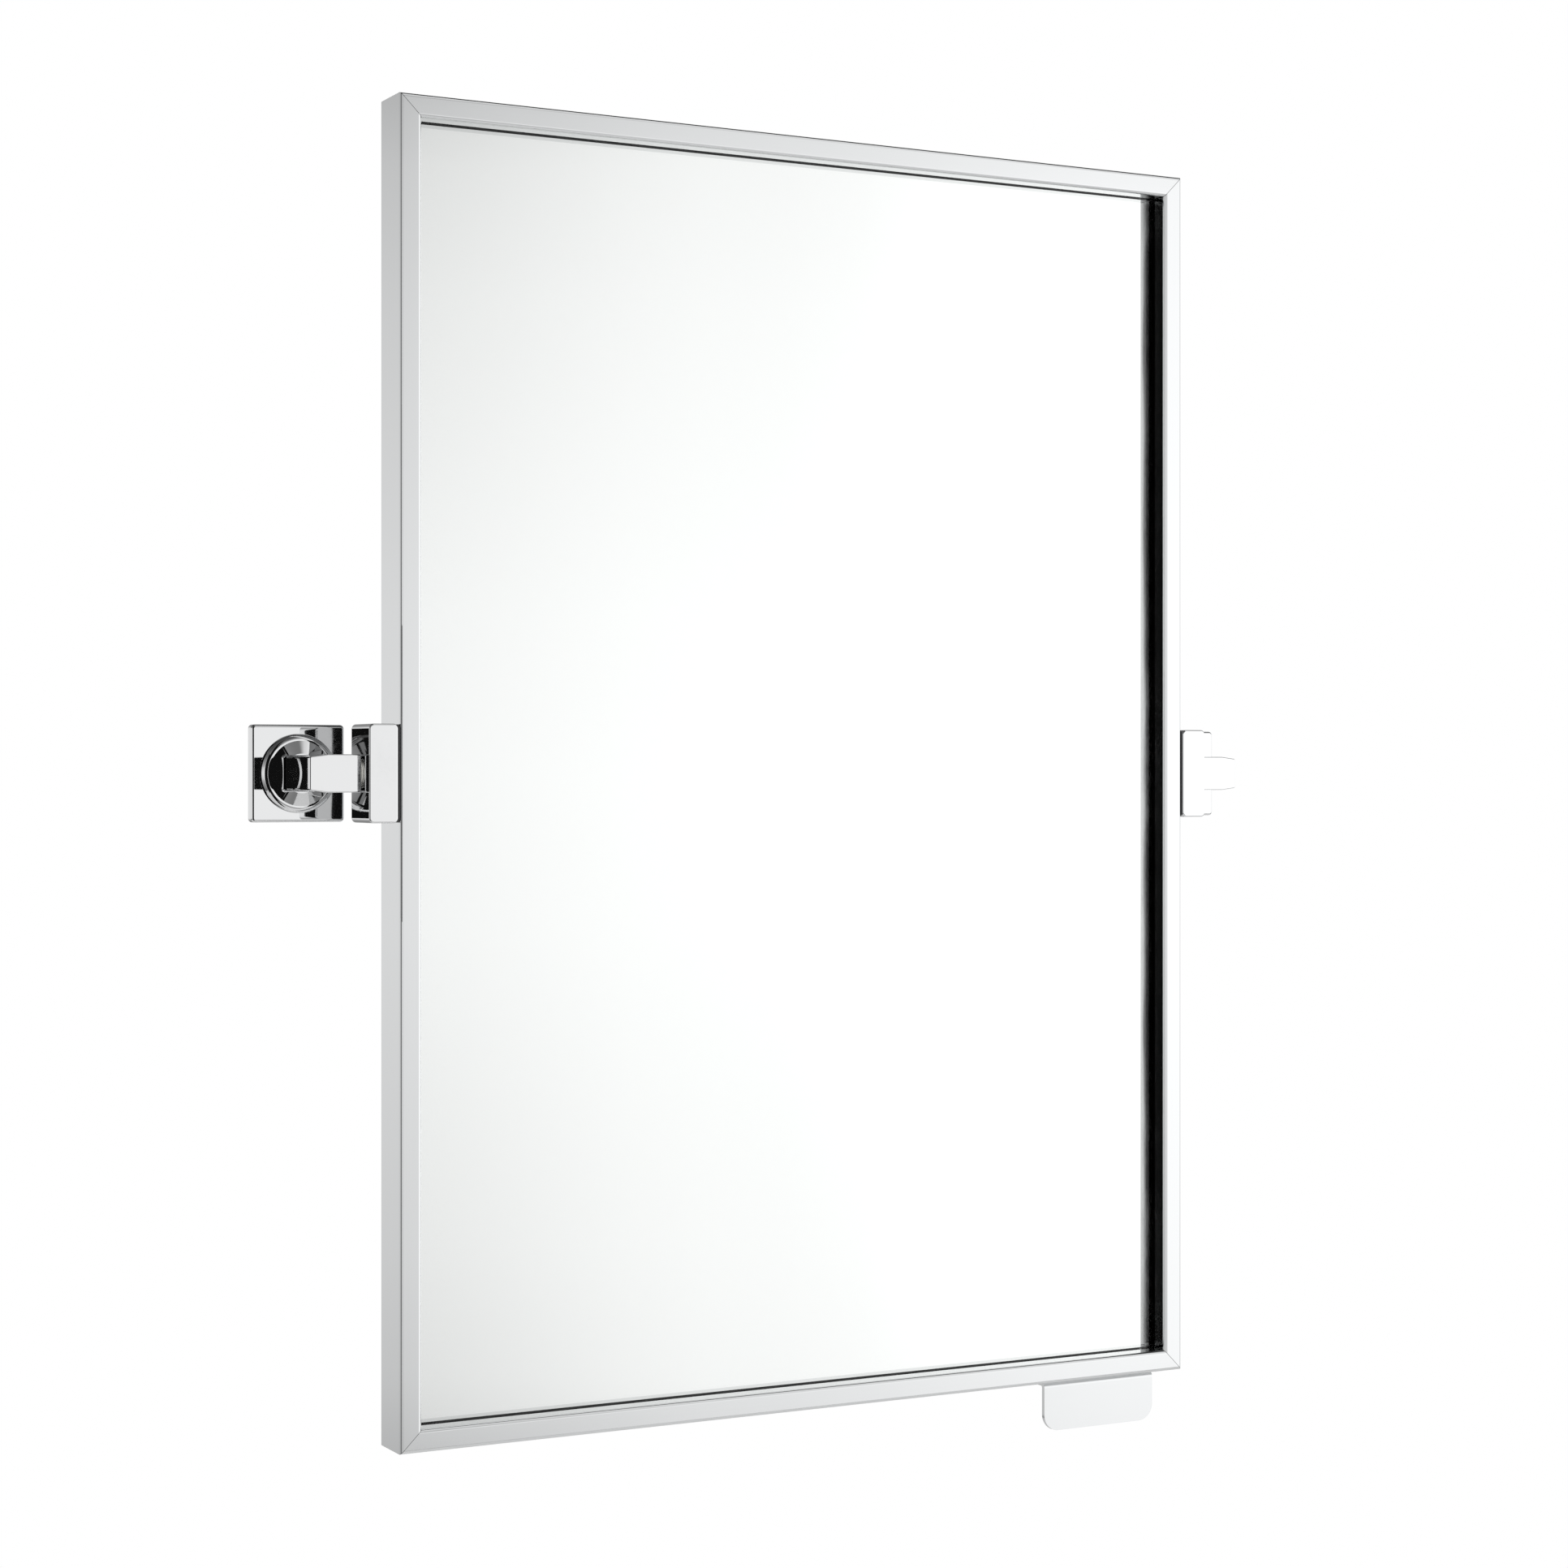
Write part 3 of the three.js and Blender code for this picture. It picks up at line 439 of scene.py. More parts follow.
def rectangle(low, high):
    """Corners of an upright rectangle, counterclockwise."""
    return [
        Vector((low[0], low[1])),
        Vector((high[0], low[1])),
        Vector((high[0], high[1])),
        Vector((low[0], high[1])),
    ]


def corner_frame(corners, i):
    """The bisector at a corner and half the angle between its sides."""
    here = corners[i]
    back = (corners[i - 1] - here).normalized()
    ahead = (corners[(i + 1) % len(corners)] - here).normalized()
    return (back + ahead).normalized(), back, back.angle(ahead) / 2


def front_outline(low, high):
    """The outline of a box seen from the front."""
    return rectangle((low.x, low.z), (high.x, high.z))


def inset(corners, distance):
    """A convex counterclockwise outline with its sides moved in."""
    moved = []
    for i, here in enumerate(corners):
        bisector, _, half = corner_frame(corners, i)
        moved.append(here + bisector * distance / sin(half))
    return moved


def rounded(corners, radius, steps=8):
    """A convex counterclockwise outline with each corner an arc."""
    points = []
    for i, here in enumerate(corners):
        bisector, back, half = corner_frame(corners, i)
        centre = here + bisector * radius / sin(half)
        first = here + back * radius / tan(half) - centre
        for step in range(steps + 1):
            turn = (pi - 2 * half) * step / steps
            points.append(centre + Matrix.Rotation(turn, 2) @ first)
    return points


def skin(rings):
    """A closed mesh through rings of equal counts, with both ends closed."""
    shell = bmesh.new()
    rows = [[shell.verts.new(point) for point in ring] for ring in rings]
    for lower, upper in zip(rows, rows[1:]):
        for i, corner in enumerate(lower):
            j = (i + 1) % len(lower)
            shell.faces.new((corner, lower[j], upper[j], upper[i]))
    shell.faces.new(rows[0][::-1])
    shell.faces.new(rows[-1])
    bmesh.ops.recalc_face_normals(shell, faces=shell.faces)
    return shell


def rim_levels(start, end, front_edge, back_edge, steps):
    """Depths and insets along a slab whose two rims are rounded, or square where an edge is nought."""
    turns = [pi / 2 * step / steps for step in range(steps + 1)]
    front = [(start + front_edge * (1 - cos(turn)), front_edge * (1 - sin(turn))) for turn in turns]
    back = [(end - back_edge * (1 - cos(turn)), back_edge * (1 - sin(turn))) for turn in reversed(turns)]
    return (front if front_edge else [(start, 0.0)]) + (back if back_edge else [(end, 0.0)])


def slab(corners, radius, start, end, front_edge=0.0, back_edge=0.0, steps=6):
    """A slab from y = start to end on a convex outline in X and Z, with rounded corners and rims."""
    rings = []
    for depth, distance in rim_levels(start, end, front_edge, back_edge, steps):
        outline = rounded(inset(corners, distance), radius - distance)
        rings.append([Vector((point.x, depth, point.y)) for point in outline])
    return skin(rings)


def turned(profile, axis, place, steps):
    """A closed mesh turned about an axis from (radius, height) points with no radius of nought."""
    rings = []
    for radius, height in profile:
        ring = arc((0, 0), radius, 0, 2 * pi * (steps - 1) / steps, steps - 1)
        rings.append([Vector((point.x, point.y, height)) for point in ring])
    shell = skin(rings)
    turn = UP.rotation_difference(axis).to_matrix().to_4x4()
    bmesh.ops.transform(shell, matrix=Matrix.Translation(place) @ turn, verts=shell.verts)
    return shell


def add_piece(name, shell, finish):
    """A mesh object from a bmesh, smooth but for its sharp edges."""
    mesh = bpy.data.meshes.new(name)
    shell.to_mesh(mesh)
    shell.free()
    piece = bpy.data.objects.new(name, mesh)
    bpy.context.scene.collection.objects.link(piece)
    mesh.materials.append(bpy.data.materials[finish])
    shade(mesh)
    return piece


def shade(mesh, angle=SHARP):
    """Shades a mesh smooth, but for edges sharper than an angle."""
    mesh.polygons.foreach_set("use_smooth", [True] * len(mesh.polygons))
    mesh.set_sharp_from_angle(angle=angle)


def bake(piece):
    """Puts what the piece's modifiers make into its own mesh."""
    depsgraph = bpy.context.evaluated_depsgraph_get()
    made = piece.evaluated_get(depsgraph)
    mesh = bpy.data.meshes.new_from_object(made, preserve_all_data_layers=True, depsgraph=depsgraph)
    plain = piece.data
    piece.modifiers.clear()
    piece.data = mesh
    bpy.data.meshes.remove(plain)
    mesh.name = piece.name


def use_up(piece):
    """Removes a piece that only helped to make others."""
    mesh = piece.data
    bpy.data.objects.remove(piece)
    bpy.data.meshes.remove(mesh)


def combine(piece, kept=(), joined=(), cutters=()):
    """Keeps what lies in some shells, joins others, cuts others out, and uses them all up."""
    tools = [(shell, "INTERSECT") for shell in kept]
    tools += [(shell, "UNION") for shell in joined]
    tools += [(shell, "DIFFERENCE") for shell in cutters]
    helpers = []
    for shell, operation in tools:
        helper = add_piece("tool", shell, piece.data.materials[0].name)
        helpers.append(helper)
        modifier = piece.modifiers.new(operation.lower(), "BOOLEAN")
        modifier.operation = operation
        modifier.solver = "EXACT"
        modifier.object = helper
    bake(piece)
    for helper in helpers:
        use_up(helper)
    clean = bmesh.new()
    clean.from_mesh(piece.data)
    bmesh.ops.remove_doubles(clean, verts=clean.verts, dist=1e-6)
    bmesh.ops.dissolve_degenerate(clean, edges=clean.edges, dist=1e-6)
    clean.to_mesh(piece.data)
    clean.free()
    shade(piece.data)


def soften(piece, width):
    """Rounds the edges that a cut left sharp."""
    modifier = piece.modifiers.new("edges", "BEVEL")
    modifier.width = width
    modifier.segments = 3
    modifier.limit_method = "ANGLE"
    modifier.angle_limit = radians(40)
    modifier.harden_normals = False
    bake(piece)
    shade(piece.data)


def even_normals(piece):
    """Keeps flat faces flat beside their rounded edges."""
    modifier = piece.modifiers.new("normals", "WEIGHTED_NORMAL")
    modifier.keep_sharp = True
    modifier.weight = 60
    bake(piece)


def put_on(piece, body, slot, *nodes):
    """The piece rides on a body and stands for nodes; its slot is not used."""
    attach(piece, body)
    if nodes:
        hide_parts(*nodes)


# --- Nodes for the finishes ---------------------------------------------------------------------


def feed(tree, socket, value):
    """Links a socket to another node's output, or gives it a plain value."""
    if isinstance(value, bpy.types.NodeSocket):
        tree.links.new(value, socket)
    else:
        socket.default_value = value


def add(tree, kind, inputs=None, **settings):
    """A node with its settings, its values set and its links made."""
    node = tree.nodes.new(kind)
    for name, value in settings.items():
        setattr(node, name, value)
    for key, value in (inputs or {}).items():
        feed(tree, node.inputs[key], value)
    return node


def maths(tree, operation, first, second=0.0, clamp=False):
    """One sum of two values."""
    node = add(tree, "ShaderNodeMath", {0: first, 1: second}, operation=operation, use_clamp=clamp)
    return node.outputs[0]


def noise(tree, vector, scale, detail, roughness=0.5):
    """Cloudy noise from 0 to 1."""
    inputs = {"Vector": vector, "Scale": scale, "Detail": detail, "Roughness": roughness}
    return add(tree, "ShaderNodeTexNoise", inputs).outputs["Fac"]


def spread(tree, value, low, high):
    """A value of 0 to 1 laid out between two others."""
    return add(tree, "ShaderNodeMapRange", {"Value": value, "To Min": low, "To Max": high}).outputs[0]


def ramp(tree, value, stops):
    """A grey ramp through (position, level) stops."""
    node = add(tree, "ShaderNodeValToRGB", {"Fac": value})
    elements = node.color_ramp.elements
    while len(elements) > 1:
        elements.remove(elements[-1])
    for i, (position, level) in enumerate(stops):
        element = elements[0] if i == 0 else elements.new(position)
        element.position = position
        element.color = (level, level, level, 1.0)
    return node.outputs["Color"]


def blend(tree, amount, first, second):
    """A mix of two colours."""
    node = add(tree, "ShaderNodeMix", data_type="RGBA")
    for key, value in ((0, amount), (6, first), (7, second)):
        feed(tree, node.inputs[key], (*value, 1.0) if isinstance(value, tuple) else value)
    return node.outputs[2]


def toned(colour, share):
    """A colour made darker or lighter by a share."""
    return tuple(share * channel for channel in colour)


def new_group(name, inputs, outputs):
    """An empty shader group with named sockets; returns it with its input and output nodes."""
    group = bpy.data.node_groups.new(name, "ShaderNodeTree")
    for socket, kind, default in inputs:
        made = group.interface.new_socket(socket, in_out="INPUT", socket_type=kind)
        if default is not None:
            made.default_value = default
    for socket, kind in outputs:
        group.interface.new_socket(socket, in_out="OUTPUT", socket_type=kind)
    return group, group.nodes.new("NodeGroupInput"), group.nodes.new("NodeGroupOutput")


def use_group(tree, name, inputs):
    """One of the shader groups, placed with its own values."""
    return add(tree, "ShaderNodeGroup", inputs, node_tree=bpy.data.node_groups[name])


def build_grain_group():
    """Fine polishing lines drawn out along one direction."""
    inputs = [("Vector", "NodeSocketVector", None), ("Stretch", "NodeSocketVector", (1, 1, 1))]
    group, start, end = new_group("polishing lines", inputs, [("Height", "NodeSocketFloat")])
    settings = {0: start.outputs["Vector"], 1: start.outputs["Stretch"]}
    drawn = add(group, "ShaderNodeVectorMath", settings, operation="MULTIPLY").outputs[0]
    fine = noise(group, drawn, scale=1.0, detail=4.0, roughness=0.65)
    broad = noise(group, drawn, scale=0.17, detail=2.0)
    both = maths(group, "ADD", maths(group, "MULTIPLY", fine, 0.7), maths(group, "MULTIPLY", broad, 0.3))
    group.links.new(both, end.inputs["Height"])


def build_marks_group():
    """Faint marks where hands and cloths have been."""
    inputs = [
        ("Vector", "NodeSocketVector", None),
        ("Scale", "NodeSocketFloat", 14.0),
        ("Cover", "NodeSocketFloat", 0.5),
    ]
    group, start, end = new_group("handling marks", inputs, [("Mask", "NodeSocketFloat")])
    vector, scale = start.outputs["Vector"], start.outputs["Scale"]
    broad = noise(group, vector, scale, detail=4.0, roughness=0.6)
    fine = noise(group, vector, maths(group, "MULTIPLY", scale, 9.0), detail=3.0, roughness=0.7)
    mixed = maths(group, "ADD", maths(group, "MULTIPLY", broad, 0.75), maths(group, "MULTIPLY", fine, 0.25))
    over = maths(group, "SUBTRACT", mixed, start.outputs["Cover"])
    mask = maths(group, "MULTIPLY", over, 5.0, clamp=True)
    group.links.new(mask, end.inputs["Mask"])


def build_ripple_group():
    """The slow unevenness of rolled sheet or float glass."""
    inputs = [("Vector", "NodeSocketVector", None), ("Scale", "NodeSocketFloat", 9.0)]
    group, start, end = new_group("sheet ripple", inputs, [("Height", "NodeSocketFloat")])
    slow = noise(group, start.outputs["Vector"], start.outputs["Scale"], detail=1.5, roughness=0.4)
    group.links.new(slow, end.inputs["Height"])


def build_speckle_group():
    """Small grains, as in pressed board, moulded nylon or plating."""
    inputs = [("Vector", "NodeSocketVector", None), ("Scale", "NodeSocketFloat", 900.0)]
    outputs = [("Grain", "NodeSocketFloat"), ("Cells", "NodeSocketFloat")]
    group, start, end = new_group("speckle", inputs, outputs)
    vector, scale = start.outputs["Vector"], start.outputs["Scale"]
    grain = noise(group, vector, scale, detail=5.0, roughness=0.7)
    cells = add(group, "ShaderNodeTexVoronoi", {"Vector": vector, "Scale": scale}, feature="F1")
    grey = add(group, "ShaderNodeSeparateColor", {"Color": cells.outputs["Color"]}).outputs["Red"]
    group.links.new(grain, end.inputs["Grain"])
    group.links.new(grey, end.inputs["Cells"])


def new_finish(name, **plain):
    """A material with a principled shader; returns its tree, shader and object coordinates."""
    material = bpy.data.materials.new(name)
    material.use_nodes = True
    tree = material.node_tree
    tree.nodes.clear()
    shader = tree.nodes.new("ShaderNodeBsdfPrincipled")
    output = tree.nodes.new("ShaderNodeOutputMaterial")
    tree.links.new(shader.outputs[0], output.inputs["Surface"])
    for key, value in plain.items():
        shader.inputs[key.replace("_", " ")].default_value = value
    place = tree.nodes.new("ShaderNodeTexCoord").outputs["Object"]
    return tree, shader, place


def raise_surface(tree, shader, height, distance):
    """Feeds a height, in shares of a distance, to the shader's normal through a bump."""
    bump = add(tree, "ShaderNodeBump", {"Height": height, "Distance": distance, "Strength": 1.0})
    tree.links.new(bump.outputs["Normal"], shader.inputs["Normal"])


def bright_steel(name, stretch, smoothest, colour):
    """Rolled and polished stainless steel: lines along the sheet, a slow ripple, faint marks."""
    tree, shader, place = new_finish(name, Metallic=1.0)
    lines = use_group(tree, "polishing lines", {"Vector": place, "Stretch": stretch}).outputs[0]
    marks = use_group(tree, "handling marks", {"Vector": place, "Scale": 11.0, "Cover": 0.5}).outputs[0]
    ripple = use_group(tree, "sheet ripple", {"Vector": place, "Scale": 13.0}).outputs[0]
    tree.links.new(blend(tree, lines, toned(colour, 0.955), tuple(colour)), shader.inputs["Base Color"])
    lined = spread(tree, lines, smoothest, smoothest + 0.02)
    rough = maths(tree, "ADD", lined, spread(tree, marks, 0.0, 0.02))
    tree.links.new(rough, shader.inputs["Roughness"])
    scaled = maths(tree, "ADD", maths(tree, "MULTIPLY", lines, 0.004), ripple)
    raise_surface(tree, shader, scaled, distance=0.00006)


def chrome_plate(name, colour):
    """Polished chrome: a buffed surface with faint marks and a trace of casting under it."""
    tree, shader, place = new_finish(name, Metallic=1.0)
    marks = use_group(tree, "handling marks", {"Vector": place, "Scale": 38.0, "Cover": 0.52}).outputs[0]
    ripple = use_group(tree, "sheet ripple", {"Vector": place, "Scale": 70.0}).outputs[0]
    tree.links.new(blend(tree, marks, tuple(colour), toned(colour, 0.965)), shader.inputs["Base Color"])
    tree.links.new(spread(tree, marks, 0.025, 0.07), shader.inputs["Roughness"])
    raise_surface(tree, shader, ripple, distance=0.000012)


def silvering(name, colour):
    """The silver behind the glass, very slightly uneven as float glass is."""
    tree, shader, place = new_finish(name, Metallic=1.0, Roughness=0.0)
    ripple = use_group(tree, "sheet ripple", {"Vector": place, "Scale": 5.0}).outputs[0]
    tree.links.new(blend(tree, ripple, toned(colour, 0.99), tuple(colour)), shader.inputs["Base Color"])
    raise_surface(tree, shader, ripple, distance=0.00002)


def clear_glass(name, colour):
    """Float glass with a trace of green and a soft haze where it has been wiped."""
    tree, shader, place = new_finish(name, Transmission_Weight=1.0, IOR=1.52, Roughness=0.0)
    marks = use_group(tree, "handling marks", {"Vector": place, "Scale": 6.0, "Cover": 0.55}).outputs[0]
    tree.links.new(blend(tree, marks, tuple(colour), toned(colour, 0.993)), shader.inputs["Base Color"])


def back_paint(name):
    """The grey paint that covers the silver."""
    tree, shader, place = new_finish(name)
    grain = use_group(tree, "speckle", {"Vector": place, "Scale": 420.0})
    colour = blend(tree, grain.outputs["Grain"], (0.13, 0.135, 0.15), (0.18, 0.185, 0.2))
    tree.links.new(colour, shader.inputs["Base Color"])
    tree.links.new(spread(tree, grain.outputs["Grain"], 0.45, 0.65), shader.inputs["Roughness"])
    raise_surface(tree, shader, grain.outputs["Grain"], distance=0.00003)


def pressed_board(name, colour):
    """Hardboard: brown pressed fibres with darker flecks."""
    tree, shader, place = new_finish(name)
    grain = use_group(tree, "speckle", {"Vector": place, "Scale": 700.0})
    marks = use_group(tree, "handling marks", {"Vector": place, "Scale": 30.0, "Cover": 0.45}).outputs[0]
    fibres = blend(tree, grain.outputs["Grain"], toned(colour, 0.7), toned(colour, 1.25))
    tree.links.new(blend(tree, marks, fibres, toned(colour, 0.8)), shader.inputs["Base Color"])
    tree.links.new(spread(tree, grain.outputs["Grain"], 0.6, 0.85), shader.inputs["Roughness"])
    raise_surface(tree, shader, grain.outputs["Grain"], distance=0.0001)


def galvanised_sheet(name):
    """Hot-dipped sheet: a spangle of crystals, each a little lighter or darker than the next."""
    tree, shader, place = new_finish(name, Metallic=1.0)
    bent = add(tree, "ShaderNodeMapping", {"Vector": place, "Scale": (1.0, 1.0, 0.8)}).outputs[0]
    cells = use_group(tree, "speckle", {"Vector": bent, "Scale": 95.0})
    fine = use_group(tree, "speckle", {"Vector": place, "Scale": 1200.0})
    colour = blend(tree, cells.outputs["Cells"], (0.5, 0.52, 0.54), (0.68, 0.7, 0.72))
    tree.links.new(colour, shader.inputs["Base Color"])
    tree.links.new(spread(tree, cells.outputs["Cells"], 0.3, 0.46), shader.inputs["Roughness"])
    raise_surface(tree, shader, fine.outputs["Grain"], distance=0.00002)


def pressed_steel(name):
    """Plain pressed steel plate with rolling lines and a dull oiled surface."""
    tree, shader, place = new_finish(name, Metallic=1.0)
    lines = use_group(tree, "polishing lines", {"Vector": place, "Stretch": (60.0, 900.0, 900.0)}).outputs[0]
    marks = use_group(tree, "handling marks", {"Vector": place, "Scale": 60.0, "Cover": 0.45}).outputs[0]
    colour = blend(tree, lines, (0.44, 0.45, 0.46), (0.58, 0.59, 0.6))
    tree.links.new(blend(tree, marks, colour, (0.4, 0.4, 0.405)), shader.inputs["Base Color"])
    tree.links.new(spread(tree, lines, 0.32, 0.5), shader.inputs["Roughness"])
    raise_surface(tree, shader, lines, distance=0.00002)


def zinc_plating(name, colour):
    """Blue-white zinc plating with a soft sheen and small dull spots."""
    tree, shader, place = new_finish(name, Metallic=1.0)
    grain = use_group(tree, "speckle", {"Vector": place, "Scale": 1500.0})
    marks = use_group(tree, "handling marks", {"Vector": place, "Scale": 220.0, "Cover": 0.5}).outputs[0]
    tinted = tuple(channel * scale for channel, scale in zip(colour, (0.86, 0.9, 0.97)))
    tree.links.new(blend(tree, marks, tuple(colour), tinted), shader.inputs["Base Color"])
    tree.links.new(spread(tree, marks, 0.24, 0.4), shader.inputs["Roughness"])
    raise_surface(tree, shader, grain.outputs["Grain"], distance=0.00001)


def moulded_plastic(name, dark, light, low, high, bump):
    """A moulded or pressed plastic with a fine spark-eroded surface."""
    tree, shader, place = new_finish(name)
    grain = use_group(tree, "speckle", {"Vector": place, "Scale": 1800.0})
    tree.links.new(blend(tree, grain.outputs["Grain"], dark, light), shader.inputs["Base Color"])
    tree.links.new(spread(tree, grain.outputs["Grain"], low, high), shader.inputs["Roughness"])
    raise_surface(tree, shader, grain.outputs["Grain"], bump)


# --- Pieces -------------------------------------------------------------------------------------


def frame_section(sizes, depth):
    """The rolled section as (inward, depth) points, from the outer side round the back to the lip."""
    radius, wall = sizes.edge_radius, sizes.wall
    bend = sizes.face_width - radius
    inner = radius - wall
    channel_end = depth - wall
    rib_back = frame_rib_back(sizes)
    rib = wall + sizes.rib_reach
    corners = [
        (0, depth),
        (sizes.back_lip, depth),
        (sizes.back_lip, channel_end),
        (wall, channel_end),
        (wall, rib_back),
        (rib, rib_back),
        (rib, rib_back - sizes.rib_thickness),
        (wall, rib_back - sizes.rib_thickness),
    ]
    points = [Vector(corner) for corner in corners]
    points += arc((radius, radius), inner, pi, 1.5 * pi, steps=4)
    points += arc((bend, radius), inner, -pi / 2, 0, steps=6)
    points.append(Vector((sizes.face_width - wall, sizes.recess_depth)))
    points.append(Vector((sizes.face_width, sizes.recess_depth)))
    points += arc((bend, radius), radius, 0, -pi / 2, steps=14)
    points += arc((radius, radius), radius, -pi / 2, -pi, steps=12)
    return points


def frame_rib_back(sizes):
    """Depth of the rib's back face, which stands on the back panel."""
    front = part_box("left_stile")[0].y
    panel_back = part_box("back_panel")[1].y - front
    return panel_back + PANEL_ROOM + sizes.rib_thickness


def member_point(name, low, high, along, inward, depth):
    """Where a point of a member's section stands on its side of the frame."""
    if name == "bottom_rail":
        return Vector((along, low.y + depth, low.z + inward))
    if name == "top_rail":
        return Vector((-along, low.y + depth, high.z - inward))
    if name == "left_stile":
        return Vector((low.x + inward, low.y + depth, -along))
    return Vector((high.x - inward, low.y + depth, along))


def frame_member(name, sizes):
    """One mitred member, its ends drawn back by half the open seam."""
    low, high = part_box(name)
    upright = name.endswith("stile")
    finish = "bright steel, upright" if upright else "bright steel, level"
    length = high.z - low.z if upright else high.x - low.x
    section = frame_section(sizes, high.y - low.y)
    rings = []
    for step in range(MEMBER_STEPS + 1):
        share = 2 * step / MEMBER_STEPS - 1
        ring = []
        for inward, depth in section:
            half = length / 2 - inward - sizes.mitre_gap / 2
            ring.append(member_point(name, low, high, share * half, inward, depth))
        rings.append(ring)
    member = add_piece("frame_" + name, skin(rings), finish)
    even_normals(member)
    put_on(member, MIRROR_BODY, "stainless_steel", name)


def glass_and_silver(sizes):
    """Clear glass with its silver bonded into its back, so that the recess shows through its edge."""
    low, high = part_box("mirror_glass")
    corners = front_outline(low, high)
    corner, arris = sizes.glass_corner, sizes.glass_arris
    glass = slab(corners, corner, low.y, high.y - sizes.silver / 2, arris, arris, steps=3)
    clear = add_piece("clear_glass", glass, "clear glass")
    even_normals(clear)
    put_on(clear, MIRROR_BODY, "mirror_glass", "mirror_glass")
    layer = slab(corners, corner, high.y - sizes.silver, high.y)
    silver = add_piece("silver_layer", layer, "silvering")
    silver.data.materials.append(bpy.data.materials["back paint"])
    for polygon in silver.data.polygons:
        if polygon.normal.y > -0.5:
            polygon.material_index = 1
    put_on(silver, MIRROR_BODY, "mirror_glass")


def tab_profile(sizes, low, high):
    """The bent tab from the side as (depth, height) points."""
    thickness, bend = sizes.tab_thickness, sizes.tab_bend
    inner = bend - thickness
    front, top = low.y, high.z
    points = [Vector((front, low.z)), Vector((front + thickness, low.z))]
    points += arc((front + bend, top - bend), inner, pi, pi / 2, steps=8)
    points += [Vector((high.y, top - thickness)), Vector((high.y, top))]
    points += arc((front + bend, top - bend), bend, pi / 2, pi, steps=14)
    return points


def hand_tab(sizes):
    """The bent sheet under the bottom rail, with round lower corners and two screw holes."""
    low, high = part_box("tilt_tab")
    profile = tab_profile(sizes, low, high)
    rings = []
    for step in range(TAB_STEPS + 1):
        across = low.x + (high.x - low.x) * step / TAB_STEPS
        rings.append([Vector((across, point.x, point.y)) for point in profile])
    tab = add_piece("hand_tab", skin(rings), "bright steel, level")
    room = sizes.tab_corner
    bottom = arc((low.x + room, low.z + room), room, pi, 1.5 * pi, steps=16)
    bottom += arc((high.x - room, low.z + room), room, 1.5 * pi, 2 * pi, steps=16)
    outline = bottom + [Vector((high.x, high.z + room)), Vector((low.x, high.z + room))]
    front = [Vector((point.x, low.y - room, point.y)) for point in outline]
    back = [Vector((point.x, high.y + room, point.y)) for point in outline]
    holes = []
    for node in ("tab_screw_1", "tab_screw_2"):
        screw_low, screw_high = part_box(node)
        middle = (screw_low + screw_high) / 2
        place = Vector((middle.x, middle.y, high.z + THROUGH))
        hole = [(TAB_HOLE, 0.0), (TAB_HOLE, TAB_HOLE_DEPTH)]
        holes.append(turned(hole, -UP, place, steps=24))
    combine(tab, kept=[skin([front, back])], cutters=holes)
    soften(tab, TAB_RIM)
    even_normals(tab)
    put_on(tab, MIRROR_BODY, "stainless_steel", "tilt_tab")


def tilt_axis():
    """A point on the tilt axis, from the frame's own joint."""
    return Vector(frame["joints"][0]["pos_m"])


def hinge_block(side, sizes):
    """The upright block on the frame's side, bored for the bush and its friction washers."""
    low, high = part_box(side + "_pivot_block")
    edge = sizes.block_edge
    shell = slab(front_outline(low, high), sizes.block_corner, low.y, high.y, edge, edge)
    block = add_piece(side + "_hinge_block", shell, "polished chrome")
    axis = tilt_axis()
    outward = Vector((1 if side == "right" else -1, 0, 0))
    start = Vector((low.x if side == "right" else high.x, axis.y, axis.z))
    width = high.x - low.x
    radius = sizes.pin_bore
    bore = turned([(radius, -THROUGH), (radius, width + THROUGH)], outward, start, steps=48)
    bush_low, bush_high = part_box(side + "_bush")
    washer_low, washer_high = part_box(side + "_friction_washer")
    socket = (washer_high.z - washer_low.z) / 2 + WASHER_ROOM
    socket_end = width - (bush_high.x - bush_low.x) + BUSH_PROUD
    hollow = turned([(socket, -THROUGH), (socket, socket_end)], outward, start, steps=48)
    combine(block, cutters=[bore, hollow])
    even_normals(block)
    put_on(block, MIRROR_BODY, "polished_chrome", side + "_pivot_block")


